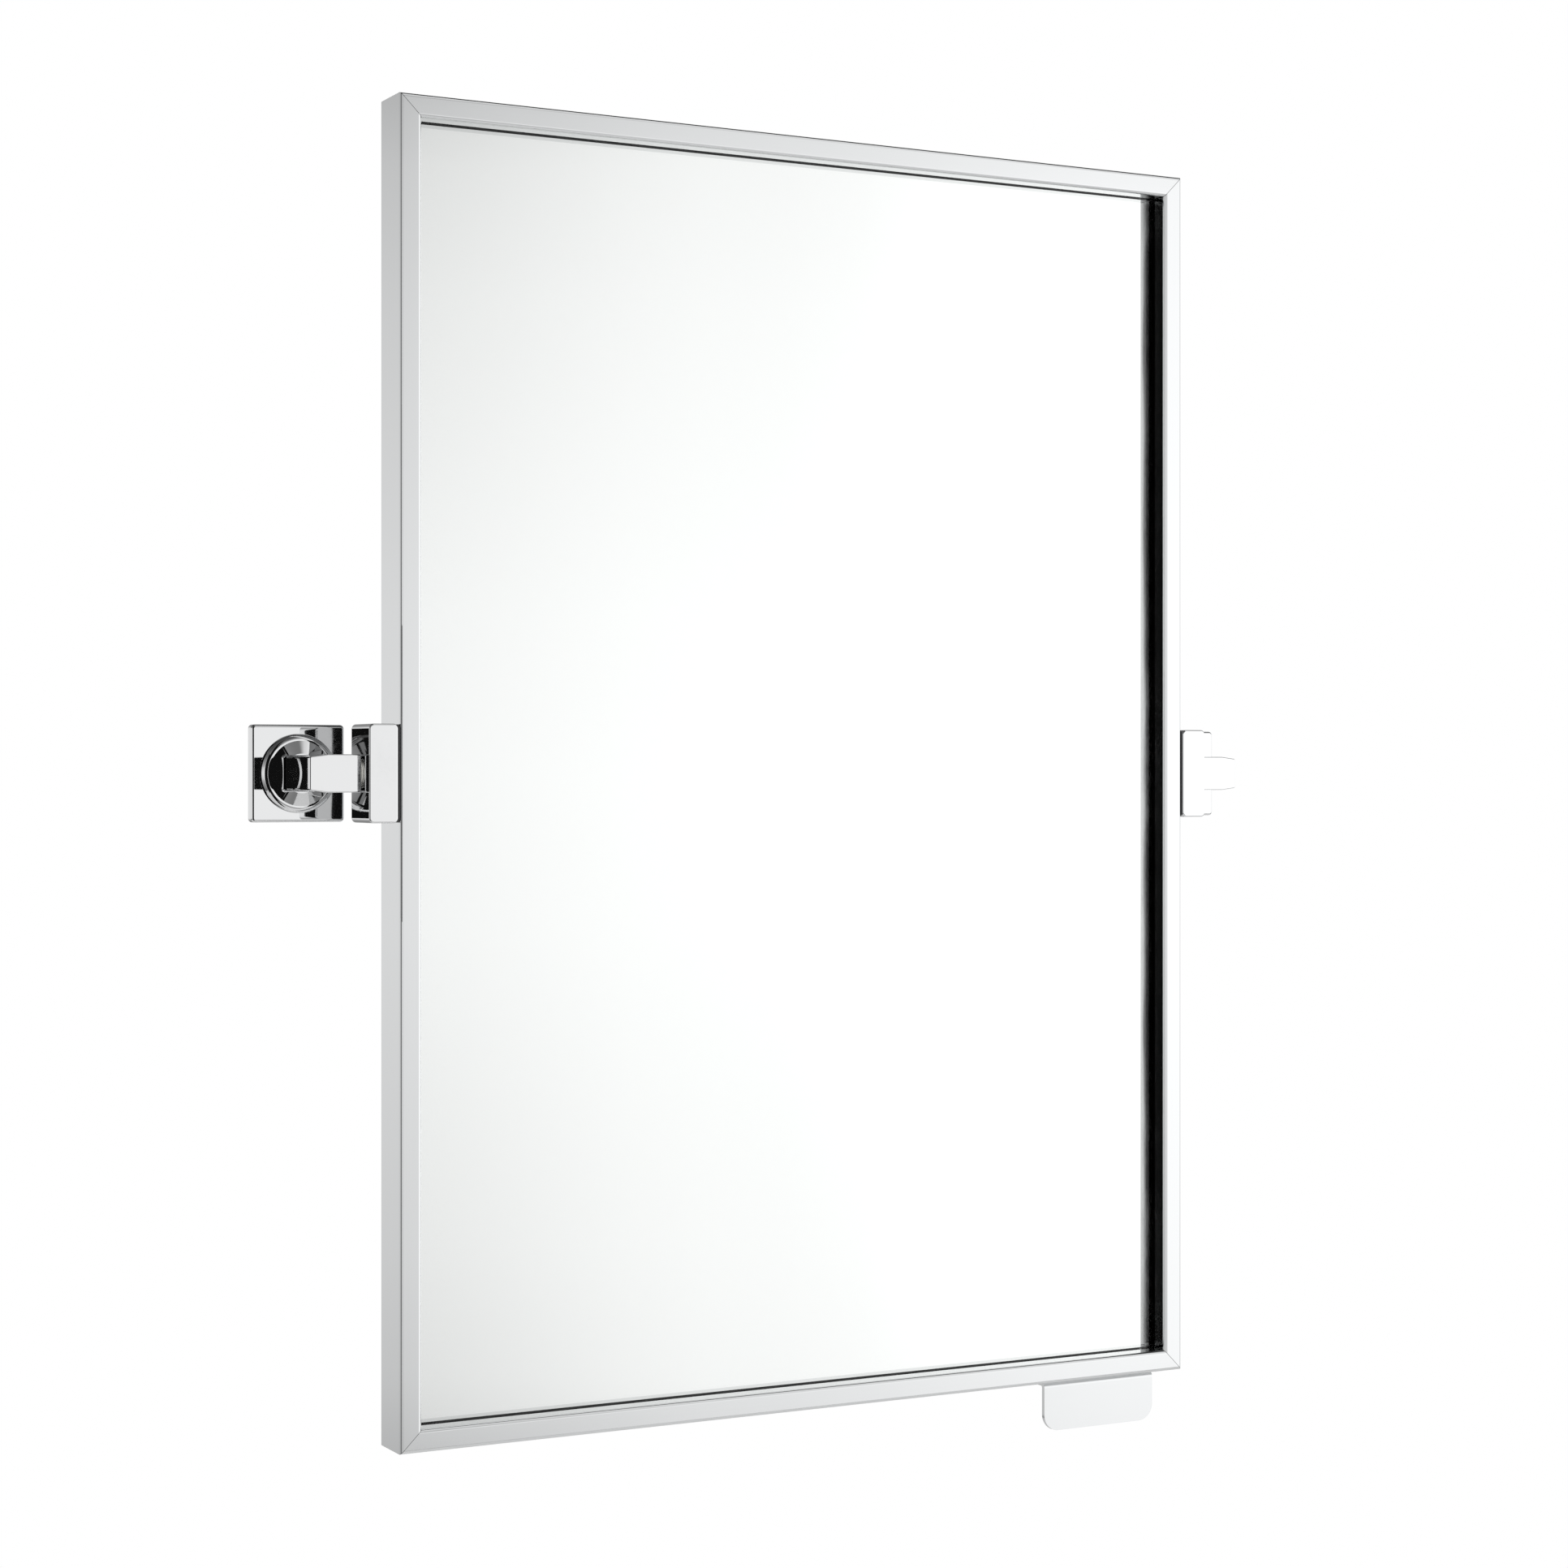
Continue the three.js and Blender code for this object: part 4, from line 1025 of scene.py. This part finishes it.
def bracket_arm(side, sizes):
    """The casting: a post out of the wall and a short arm that narrows at its outer end.

    Returns where the post's middle stands along X.
    """
    low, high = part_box(side + "_arm")
    outward = 1 if side == "right" else -1
    start = low.x if side == "right" else -high.x
    end = high.x if side == "right" else -low.x
    half = (high.z - low.z) / 2
    post = sizes.post_height / 2
    taper = end - sizes.arm_taper
    outline = [(start, -half), (taper, -half), (end, -post), (end, post), (taper, half), (start, half)]
    if side == "left":
        outline = [(-across, height) for across, height in reversed(outline)]
    corners = [Vector(corner) for corner in outline]
    arm_back = low.y + sizes.arm_depth
    head = slab(corners, sizes.arm_corner, low.y, arm_back, sizes.arm_edge, sizes.arm_edge)
    arm = add_piece(side + "_bracket_arm", head, "polished chrome")
    half_width = sizes.post_width / 2
    middle = (end - half_width) * outward
    post_corners = rectangle((middle - half_width, -post), (middle + half_width, post))
    stem = slab(post_corners, sizes.arm_corner, arm_back - sizes.arm_depth / 2, high.y)
    cutters = []
    for node in ("_arm_screw", "_pin_screw"):
        screw_low, screw_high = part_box(side + node)
        place = (screw_low + screw_high) / 2
        radius = (screw_high.x - screw_low.x) / 2 + SCREW_ROOM
        profile = [(radius, -SCREW_HOLE_REACH), (radius, screw_high.z - place.z)]
        cutters.append(turned(profile, UP, place, steps=28))
    spigot_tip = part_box(side + "_wall_bracket")[0].y
    heel = Vector((middle, high.y + THROUGH, 0))
    bore = [(SPIGOT_BORE, 0.0), (SPIGOT_BORE, high.y + THROUGH - spigot_tip + SPIGOT_ROOM)]
    cutters.append(turned(bore, Vector((0, -1, 0)), heel, steps=36))
    combine(arm, joined=[stem], cutters=cutters)
    even_normals(arm)
    put_on(arm, WALL_BODY, "polished_chrome", side + "_arm")
    return middle


def post_hole(middle, sizes, start, end):
    """What is cut out of a piece that slips over the post."""
    half_width = sizes.post_width / 2 + sizes.seat
    half_height = sizes.post_height / 2 + sizes.seat
    corners = rectangle((middle - half_width, -half_height), (middle + half_width, half_height))
    return slab(corners, sizes.arm_corner, start, end)


def round_collar(side, sizes, middle):
    """The round collar: a rolled rim, a flat ring, a cone and a square coved neck up to the post."""
    low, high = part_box(side + "_collar")
    radius = (high.z - low.z) / 2
    rim = sizes.collar_rim
    disc_front = high.y - sizes.collar_thickness
    flat = radius - rim
    foot = sizes.post_width / 2 + sizes.seat + sizes.neck_lip
    profile = [(foot, -sizes.collar_cone), (flat - sizes.collar_flat, 0.0), (flat, 0.0)]
    for step in range(1, COLLAR_STEPS + 1):
        turn = pi / 2 * step / COLLAR_STEPS
        profile.append((flat + rim * sin(turn), rim * (1 - cos(turn))))
    profile.append((radius, sizes.collar_thickness))
    disc = turned(profile, Vector((0, 1, 0)), Vector((middle, disc_front, 0)), steps=128)
    collar = add_piece(side + "_round_collar", disc, "polished chrome")
    rise = disc_front - low.y
    neck = skin(neck_rings(sizes, middle, disc_front, rise))
    hole = post_hole(middle, sizes, low.y - THROUGH, high.y + THROUGH)
    combine(collar, joined=[neck], cutters=[hole])
    shade(collar.data, COLLAR_SHARP)
    even_normals(collar)
    put_on(collar, WALL_BODY, "polished_chrome", side + "_collar")


def neck_rings(sizes, middle, disc_front, rise):
    """Outlines that draw in along a quarter circle as the neck rises off the disc."""
    rings = []
    widest = sizes.neck_lip + rise
    levels = [(disc_front + sizes.collar_rim / 2, widest)]
    for step in range(COLLAR_STEPS + 1):
        turn = pi / 2 * step / COLLAR_STEPS
        levels.append((disc_front - rise * (1 - cos(turn)), widest - rise * sin(turn)))
    for depth, offset in levels:
        half_width = sizes.post_width / 2 + sizes.seat + offset
        half_height = sizes.post_height / 2 + sizes.seat + offset
        corners = rectangle((middle - half_width, -half_height), (middle + half_width, half_height))
        outline = rounded(corners, sizes.arm_corner + offset)
        rings.append([Vector((point.x, depth, point.y)) for point in outline])
    return rings


def cover_plate(side, sizes, middle):
    """The square plate against the wall, hollow behind and open for the post."""
    low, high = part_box(side + "_wall_plate")
    corners = front_outline(low, high)
    shell = slab(corners, sizes.plate_corner, low.y, high.y, sizes.plate_edge)
    plate = add_piece(side + "_cover_plate", shell, "polished chrome")
    wall = sizes.plate_wall
    inside = slab(inset(corners, wall), wall, low.y + wall, high.y + THROUGH)
    hole = post_hole(middle, sizes, low.y - THROUGH, high.y + THROUGH)
    combine(plate, cutters=[inside, hole])
    even_normals(plate)
    put_on(plate, WALL_BODY, "polished_chrome", side + "_wall_plate")


# --- Screws -------------------------------------------------------------------------------------


def pan_screw(name, nodes, across, along, sizes):
    """A pan-head screw along local +Z from its head's top, with a cross recess."""
    low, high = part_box(nodes[0])
    size = high - low
    head = size[across] / 2
    length = size[along]
    shank = head * PAN_SHANK
    flat = head * PAN_FLAT
    profile = [(flat, 0.0)]
    for step in range(1, PAN_STEPS + 1):
        turn = pi / 2 * step / PAN_STEPS
        profile.append((flat + (head - flat) * sin(turn), PAN_DROP * (1 - cos(turn))))
    profile += [(head, PAN_HEIGHT), (shank, PAN_HEIGHT)]
    profile += [(shank, length - SCREW_TIP_LENGTH), (shank * SCREW_TIP, length)]
    screw = add_piece(name, turned(profile, UP, Vector(), steps=28), "zinc plating")
    cross = head * sizes.cross_width / 2
    levels = ((-THROUGH, 0.72, 1.25), (0.0, 0.62, 1.0), (sizes.cross_depth, 0.2, 0.55))
    cutters = []
    for turn in (0, pi / 2):
        spin = Matrix.Rotation(turn, 3, "Z")
        rings = []
        for depth, reach, width in levels:
            outline = rectangle((-head * reach, -cross * width), (head * reach, cross * width))
            rings.append([spin @ Vector((point.x, point.y, depth)) for point in outline])
        cutters.append(skin(rings))
    combine(screw, cutters=cutters)
    return screw


def grub_screw(name, node, sizes):
    """A grub screw along local +Z from its driven end, with a six-sided socket."""
    low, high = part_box(node)
    radius = (high.x - low.x) / 2
    length = high.z - low.z
    chamfer = radius * GRUB_CHAMFER
    socket = radius * GRUB_SOCKET
    profile = [(radius - chamfer, 0.0), (radius, chamfer), (radius, length - chamfer)]
    profile.append((radius - chamfer, length))
    screw = add_piece(name, turned(profile, UP, Vector(), steps=24), "zinc plating")
    drive = turned([(socket, -THROUGH), (socket, sizes.socket_depth)], UP, Vector(), steps=6)
    combine(screw, cutters=[drive])
    return screw


def screw_row_tree():
    """Stands a screw on each point, with its shank along one direction and its own turn."""
    tree = bpy.data.node_groups.new("screw row", "GeometryNodeTree")
    sockets = [
        ("Places", "NodeSocketGeometry"),
        ("Screw", "NodeSocketObject"),
        ("Direction", "NodeSocketVector"),
        ("Turn Seed", "NodeSocketInt"),
        ("Size", "NodeSocketFloat"),
        ("Finish", "NodeSocketMaterial"),
    ]
    for name, kind in sockets:
        tree.interface.new_socket(name, in_out="INPUT", socket_type=kind)
    tree.interface.new_socket("Screws", in_out="OUTPUT", socket_type="NodeSocketGeometry")
    start = tree.nodes.new("NodeGroupInput").outputs
    end = tree.nodes.new("NodeGroupOutput")
    points = add(tree, "GeometryNodeMeshToPoints", {"Mesh": start["Places"]})
    pattern = add(tree, "GeometryNodeObjectInfo", {"Object": start["Screw"]})
    facing = add(tree, "FunctionNodeAlignRotationToVector", {"Vector": start["Direction"]}, axis="Z")
    range_of_turns = {2: 0.0, 3: 2 * pi, "Seed": start["Turn Seed"]}
    spin = add(tree, "FunctionNodeRandomValue", range_of_turns, data_type="FLOAT")
    euler = add(tree, "ShaderNodeCombineXYZ", {"Z": spin.outputs[1]})
    own_turn = add(tree, "FunctionNodeEulerToRotation", {"Euler": euler.outputs[0]})
    turns = {"Rotation": facing.outputs[0], "Rotate By": own_turn.outputs[0]}
    rotation = add(tree, "FunctionNodeRotateRotation", turns, rotation_space="LOCAL")
    inputs = {
        "Points": points.outputs[0],
        "Instance": pattern.outputs["Geometry"],
        "Rotation": rotation.outputs[0],
        "Scale": start["Size"],
    }
    standing = add(tree, "GeometryNodeInstanceOnPoints", inputs)
    real = add(tree, "GeometryNodeRealizeInstances", {"Geometry": standing.outputs[0]})
    finish = {"Geometry": real.outputs[0], "Material": start["Finish"]}
    dressed = add(tree, "GeometryNodeSetMaterial", finish)
    tree.links.new(dressed.outputs[0], end.inputs[0])
    return tree


def socket_names(tree):
    """The identifier of each of a tree's inputs, by name."""
    items = tree.interface.items_tree
    return {item.name: item.identifier for item in items if item.in_out == "INPUT"}


def screw_places(nodes, along, direction):
    """The middle of each screw's driven end."""
    places = []
    for node in nodes:
        low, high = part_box(node)
        place = (low + high) / 2
        place[along] = high[along] if direction[along] < 0 else low[along]
        places.append(place)
    return places


def screw_row(name, screw, places, direction, seed, body, nodes):
    """A row of screws as one plain mesh that stands for its nodes."""
    mesh = bpy.data.meshes.new(name)
    mesh.from_pydata([tuple(place) for place in places], [], [])
    row = bpy.data.objects.new(name, mesh)
    bpy.context.scene.collection.objects.link(row)
    tree = bpy.data.node_groups.get("screw row") or screw_row_tree()
    modifier = row.modifiers.new("screws", "NODES")
    modifier.node_group = tree
    names = socket_names(tree)
    modifier[names["Screw"]] = screw
    modifier[names["Direction"]] = direction
    modifier[names["Turn Seed"]] = seed
    modifier[names["Size"]] = 1.0
    modifier[names["Finish"]] = bpy.data.materials["zinc plating"]
    bake(row)
    shade(row.data)
    even_normals(row)
    put_on(row, body, "zinc_plated_steel", *nodes)


# --- Operators ----------------------------------------------------------------------------------


class MixFinishes(bpy.types.Operator):
    """Mixes the materials and gives them to the nodes that keep their own shape"""

    bl_idname = "wall_mirror.mix_finishes"
    bl_label = "Mix finishes"

    def execute(self, context):
        colours = context.scene.wall_mirror_finishes
        build_grain_group()
        build_marks_group()
        build_ripple_group()
        build_speckle_group()
        bright_steel("bright steel, upright", (2600.0, 2600.0, 14.0), 0.015, colours.steel)
        bright_steel("bright steel, level", (14.0, 2600.0, 2600.0), 0.1, colours.steel)
        chrome_plate("polished chrome", colours.chrome)
        silvering("silvering", colours.silver)
        clear_glass("clear glass", colours.glass)
        back_paint("back paint")
        pressed_board("hardboard", colours.hardboard)
        galvanised_sheet("galvanised sheet")
        pressed_steel("pressed steel")
        zinc_plating("zinc plating", colours.zinc)
        moulded_plastic("white nylon", (0.7, 0.69, 0.64), (0.8, 0.79, 0.75), 0.4, 0.55, 0.00002)
        moulded_plastic("black nylon", (0.05, 0.05, 0.052), (0.08, 0.08, 0.082), 0.45, 0.6, 0.00004)
        moulded_plastic("friction fibre", (0.13, 0.05, 0.03), (0.24, 0.1, 0.065), 0.7, 0.9, 0.00006)
        by_slot = {
            "stainless_steel": "bright steel, upright",
            "polished_chrome": "polished chrome",
            "mirror_glass": "silvering",
            "hardboard": "hardboard",
            "galvanised_steel": "galvanised sheet",
            "pressed_steel": "pressed steel",
            "zinc_plated_steel": "zinc plating",
            "white_nylon": "white nylon",
            "black_nylon": "black nylon",
            "friction_fibre": "friction fibre",
        }
        for subpart in frame["record"]["subparts"]:
            node = frame["nodes"][subpart["node"]]
            for slot in node.material_slots:
                slot.material = bpy.data.materials[by_slot[subpart["material_slot"]]]
        return {"FINISHED"}


class BuildFrame(bpy.types.Operator):
    """Makes the four mitred members of the steel frame"""

    bl_idname = "wall_mirror.build_frame"
    bl_label = "Build frame"

    def execute(self, context):
        sizes = context.scene.wall_mirror_frame
        for name in MEMBERS:
            frame_member(name, sizes)
        return {"FINISHED"}


class BuildGlass(bpy.types.Operator):
    """Makes the clear glass and the silver on its back"""

    bl_idname = "wall_mirror.build_glass"
    bl_label = "Build glass"

    def execute(self, context):
        glass_and_silver(context.scene.wall_mirror_frame)
        return {"FINISHED"}


class BuildTab(bpy.types.Operator):
    """Makes the tab that a hand tilts the mirror by"""

    bl_idname = "wall_mirror.build_tab"
    bl_label = "Build tab"

    def execute(self, context):
        hand_tab(context.scene.wall_mirror_frame)
        return {"FINISHED"}


class BuildBrackets(bpy.types.Operator):
    """Makes the pivot block, arm, collar and wall plate of each side"""

    bl_idname = "wall_mirror.build_brackets"
    bl_label = "Build brackets"

    def execute(self, context):
        sizes = context.scene.wall_mirror_brackets
        for side in SIDES:
            hinge_block(side, sizes)
            middle = bracket_arm(side, sizes)
            round_collar(side, sizes, middle)
            cover_plate(side, sizes, middle)
        return {"FINISHED"}


class BuildScrews(bpy.types.Operator):
    """Stands the key screws, the tab's screws and the grub screws in rows"""

    bl_idname = "wall_mirror.build_screws"
    bl_label = "Build screws"

    def execute(self, context):
        sizes = context.scene.wall_mirror_screws
        keys = [f"key_screw_{number}" for number in range(1, 9)]
        tabs = ["tab_screw_1", "tab_screw_2"]
        rows = (("key_screws", keys, 0, 1, (0, -1, 0)), ("tab_screws", tabs, 0, 2, (0, 0, 1)))
        for name, nodes, across, along, direction in rows:
            screw = pan_screw("screw", nodes, across, along, sizes)
            places = screw_places(nodes, along, direction)
            screw_row(name, screw, places, direction, sizes.turn_seed, MIRROR_BODY, nodes)
            use_up(screw)
        up = (0, 0, 1)
        for kind in ("arm_screw", "pin_screw"):
            nodes = [f"{side}_{kind}" for side in SIDES]
            screw = grub_screw("screw", nodes[0], sizes)
            places = screw_places(nodes, 2, up)
            screw_row(kind + "s", screw, places, up, sizes.turn_seed, WALL_BODY, nodes)
            use_up(screw)
        return {"FINISHED"}


# --- The stage ----------------------------------------------------------------------------------


# How light the studio is at each bearing in degrees, from straight ahead of the glass towards +X.
AROUND = (
    (-180, 0.7),
    (-159, 0.87),
    (-120, 0.8),
    (-50, 0.9),
    (-28, 1.0),
    (14, 0.96),
    (21, 0.98),
    (25, 1.08),
    (29, 1.12),
    (34, 1.34),
    (60, 1.4),
    (90, 0.95),
    (150, 0.6),
    (179, 0.65),
)
# How that light falls off with height, above and below alike, from level (0) to upright (1).
BY_HEIGHT = (
    (0.0, 1.0),
    (0.05, 0.98),
    (0.1, 0.92),
    (0.15, 0.86),
    (0.19, 0.78),
    (0.22, 0.62),
    (0.27, 0.5),
    (0.36, 0.36),
    (0.55, 0.18),
    (0.8, 0.08),
)
# How far the fall with height counts at each bearing: less at the right, where the studio is tall.
FALL_SHARE = ((-180, 1.0), (20, 1.0), (27, 0.4), (60, 0.4), (80, 1.0), (179, 1.0))
FLOOR_REACH = 2.4
# Each lamp's name, its place, its size and the setting that gives its power.
LAMPS = (
    ("key_lamp", (-1.2, -1.9, 1.7), 1.4, "key_power"),
    ("fill_lamp", (1.9, -1.5, 0.5), 1.6, "fill_power"),
    ("back_lamp", (0.6, 1.8, 1.4), 1.4, "fill_power"),
)
BLACK_CLOTH = 0.006
GREY_CLOTH = 0.2
CLOTHS = (("black flag", BLACK_CLOTH), ("grey flag", GREY_CLOTH))
# The dark strip beside the camera: how far ahead of it and to its right, its width, half its height.
ROOM_FLAG = (-0.01, 0.012, 0.12, 0.8)
# Each flag's name, the two ends of its foot in X and Y, its lowest and highest point, its cloth.
FLAGS = (
    ("corner_flag", (-0.29, -0.062), (-0.29, -0.1), -0.42, 0.42, GREY_CLOTH),
    ("bracket_flag_front", (-0.285, -0.12), (-0.31, -0.12), -0.08, 0.08, BLACK_CLOTH),
    ("bracket_flag_tall", (-0.31, -0.12), (-0.37, -0.12), -0.3, 0.2, BLACK_CLOTH),
    ("bracket_flag_side", (-0.37, -0.12), (-0.37, -0.065), -0.08, 0.08, BLACK_CLOTH),
    ("bracket_flag_back", (-0.204, 0.1), (-0.13, 0.1), -0.04, 0.04, BLACK_CLOTH),
)


def bearing_stops(levels, peak=1.0):
    """Ramp stops for levels at bearings from -180 to 180 degrees."""
    return [(degrees / 360 + 0.5, level / peak) for degrees, level in levels]


def build_studio(settings):
    """White to the camera; to metal and glass, a studio light at the right and dim above and below."""
    world = bpy.data.worlds.new("studio")
    bpy.context.scene.world = world
    world.use_nodes = True
    tree = world.node_tree
    tree.nodes.clear()
    direction = tree.nodes.new("ShaderNodeTexCoord").outputs["Generated"]
    parts = add(tree, "ShaderNodeSeparateXYZ", {"Vector": direction}).outputs
    bearing = maths(tree, "ARCTAN2", parts["X"], maths(tree, "MULTIPLY", parts["Y"], -1.0))
    share = maths(tree, "ADD", maths(tree, "DIVIDE", bearing, 2 * pi), 0.5)
    peak = settings.studio_peak
    around = ramp(tree, share, bearing_stops(AROUND, peak))
    height = ramp(tree, maths(tree, "ABSOLUTE", parts["Z"]), BY_HEIGHT)
    steady = ramp(tree, share, bearing_stops(FALL_SHARE))
    falling = maths(tree, "MULTIPLY", steady, maths(tree, "SUBTRACT", 1.0, height))
    level = maths(tree, "MULTIPLY", around, maths(tree, "SUBTRACT", 1.0, falling))
    seen = maths(tree, "MULTIPLY", level, peak)
    path = tree.nodes.new("ShaderNodeLightPath").outputs
    mirrored = maths(tree, "MAXIMUM", path["Is Glossy Ray"], path["Is Transmission Ray"])
    ambient = settings.ambient
    lit = blend(tree, mirrored, (ambient, ambient, ambient), seen)
    colour = blend(tree, path["Is Camera Ray"], lit, (1.0, 1.0, 1.0))
    shine = add(tree, "ShaderNodeBackground", {"Color": colour, "Strength": 1.0})
    output = tree.nodes.new("ShaderNodeOutputWorld")
    tree.links.new(shine.outputs[0], output.inputs["Surface"])


def view_direction(settings):
    """The level direction that the camera looks in."""
    return Vector((sin(settings.camera_bearing), cos(settings.camera_bearing), 0))


def build_camera(settings):
    """The camera where the photograph's stood, with its horizon on the photograph's row."""
    lens = bpy.data.cameras.new("camera")
    lens.sensor_width = 36.0
    lens.lens = lens.sensor_width * settings.focal_pixels / PHOTO_SIZE
    lens.shift_y = (settings.horizon_row - PHOTO_SIZE / 2) / PHOTO_SIZE
    camera = bpy.data.objects.new("camera", lens)
    camera.location = settings.camera_place
    camera.rotation_euler = view_direction(settings).to_track_quat("-Z", "Y").to_euler()
    bpy.context.scene.collection.objects.link(camera)
    bpy.context.scene.camera = camera


def add_lamp(name, place, size, power):
    """A soft square lamp that looks at the mirror and isn't itself mirrored."""
    data = bpy.data.lights.new(name, "AREA")
    data.shape = "SQUARE"
    data.size = size
    data.energy = power
    lamp = bpy.data.objects.new(name, data)
    lamp.location = place
    lamp.rotation_euler = (-Vector(place)).to_track_quat("-Z", "Y").to_euler()
    lamp.visible_glossy = False
    lamp.visible_transmission = False
    bpy.context.scene.collection.objects.link(lamp)


def stage_plane(name, corners, material):
    """A flat piece of the studio."""
    mesh = bpy.data.meshes.new(name)
    mesh.from_pydata([tuple(corner) for corner in corners], [], [(0, 1, 2, 3)])
    mesh.materials.append(material)
    plane = bpy.data.objects.new(name, mesh)
    bpy.context.scene.collection.objects.link(plane)
    return plane


def build_floor(settings):
    """A plain pale floor that ends before the camera's view reaches it."""
    tree, shader, place = new_finish("pale floor", Roughness=0.7)
    grain = use_group(tree, "speckle", {"Vector": place, "Scale": 60.0}).outputs["Grain"]
    colour = blend(tree, grain, (0.86, 0.86, 0.86), (0.9, 0.9, 0.9))
    tree.links.new(colour, shader.inputs["Base Color"])
    reach, drop = FLOOR_REACH, -settings.floor_drop
    corners = [(-reach, -reach, drop), (reach, -reach, drop), (reach, reach, drop), (-reach, reach, drop)]
    stage_plane("floor", corners, bpy.data.materials["pale floor"])


def flag_cloth(name, level):
    """A plain cloth that shows at one level whatever light falls on it."""
    material = bpy.data.materials.new(name)
    material.use_nodes = True
    tree = material.node_tree
    tree.nodes.clear()
    dark = add(tree, "ShaderNodeEmission", {"Color": (level, level, level, 1.0), "Strength": 1.0})
    output = tree.nodes.new("ShaderNodeOutputMaterial")
    tree.links.new(dark.outputs[0], output.inputs["Surface"])
    return material


def add_flag(name, near, far, low, high, material):
    """An upright flag along a line from near to far, which only metal and glass see."""
    corners = [(*near[:2], low), (*far[:2], low), (*far[:2], high), (*near[:2], high)]
    flag = stage_plane(name, corners, material)
    flag.visible_camera = False
    flag.visible_diffuse = False
    flag.visible_shadow = False


def build_flags(settings):
    """A dark strip beside the camera, one along the left stile and small ones round the left bracket."""
    cloths = {level: flag_cloth(name, level) for name, level in CLOTHS}
    ahead = view_direction(settings)
    right = Vector((ahead.y, -ahead.x, 0))
    forward, aside, width, height = ROOM_FLAG
    near = Vector(settings.camera_place) + ahead * forward + right * aside
    add_flag("room_flag", near, near - right * width, -height, height, cloths[BLACK_CLOTH])
    for name, start, end, low, high, level in FLAGS:
        add_flag(name, start, end, low, high, cloths[level])


class SetStage(bpy.types.Operator):
    """Sets the floor, the studio, the lamps and the camera"""

    bl_idname = "wall_mirror.set_stage"
    bl_label = "Set stage"

    def execute(self, context):
        settings = context.scene.wall_mirror_stage
        context.scene.view_settings.view_transform = "Standard"
        build_studio(settings)
        build_floor(settings)
        build_flags(settings)
        build_camera(settings)
        for name, place, size, power in LAMPS:
            add_lamp(name, place, size, getattr(settings, power))
        return {"FINISHED"}


# --- The sidebar and the run --------------------------------------------------------------------


GROUPS = {
    "wall_mirror_frame": FrameSizes,
    "wall_mirror_brackets": BracketSizes,
    "wall_mirror_screws": ScrewSizes,
    "wall_mirror_finishes": Finishes,
    "wall_mirror_stage": StageSettings,
}
OPERATORS = (MixFinishes, BuildFrame, BuildGlass, BuildTab, BuildBrackets, BuildScrews, SetStage)


class WallMirrorPanel(bpy.types.Panel):
    """The mirror's operators, with their sizes and colours"""

    bl_idname = "VIEW3D_PT_wall_mirror"
    bl_label = "Wall Mirror"
    bl_space_type = "VIEW_3D"
    bl_region_type = "UI"
    bl_category = "Wall Mirror"

    def draw(self, context):
        for operator in OPERATORS:
            self.layout.operator(operator.bl_idname)
        for name, group in GROUPS.items():
            box = self.layout.box()
            values = getattr(context.scene, name)
            for prop in group.__annotations__:
                box.prop(values, prop)


def register():
    """Adds the settings, the operators and the panel."""
    for kind in (*GROUPS.values(), *OPERATORS, WallMirrorPanel):
        bpy.utils.register_class(kind)
    for name, group in GROUPS.items():
        setattr(bpy.types.Scene, name, PointerProperty(type=group))


def unregister():
    """Takes them away again."""
    for name in GROUPS:
        delattr(bpy.types.Scene, name)
    for kind in reversed((*GROUPS.values(), *OPERATORS, WallMirrorPanel)):
        bpy.utils.unregister_class(kind)


def main():
    """Builds the mirror and its studio."""
    register()
    bpy.ops.wall_mirror.mix_finishes()
    bpy.ops.wall_mirror.build_frame()
    bpy.ops.wall_mirror.build_glass()
    bpy.ops.wall_mirror.build_tab()
    bpy.ops.wall_mirror.build_brackets()
    bpy.ops.wall_mirror.build_screws()
    bpy.ops.wall_mirror.set_stage()


if __name__ == "__main__":
    main()
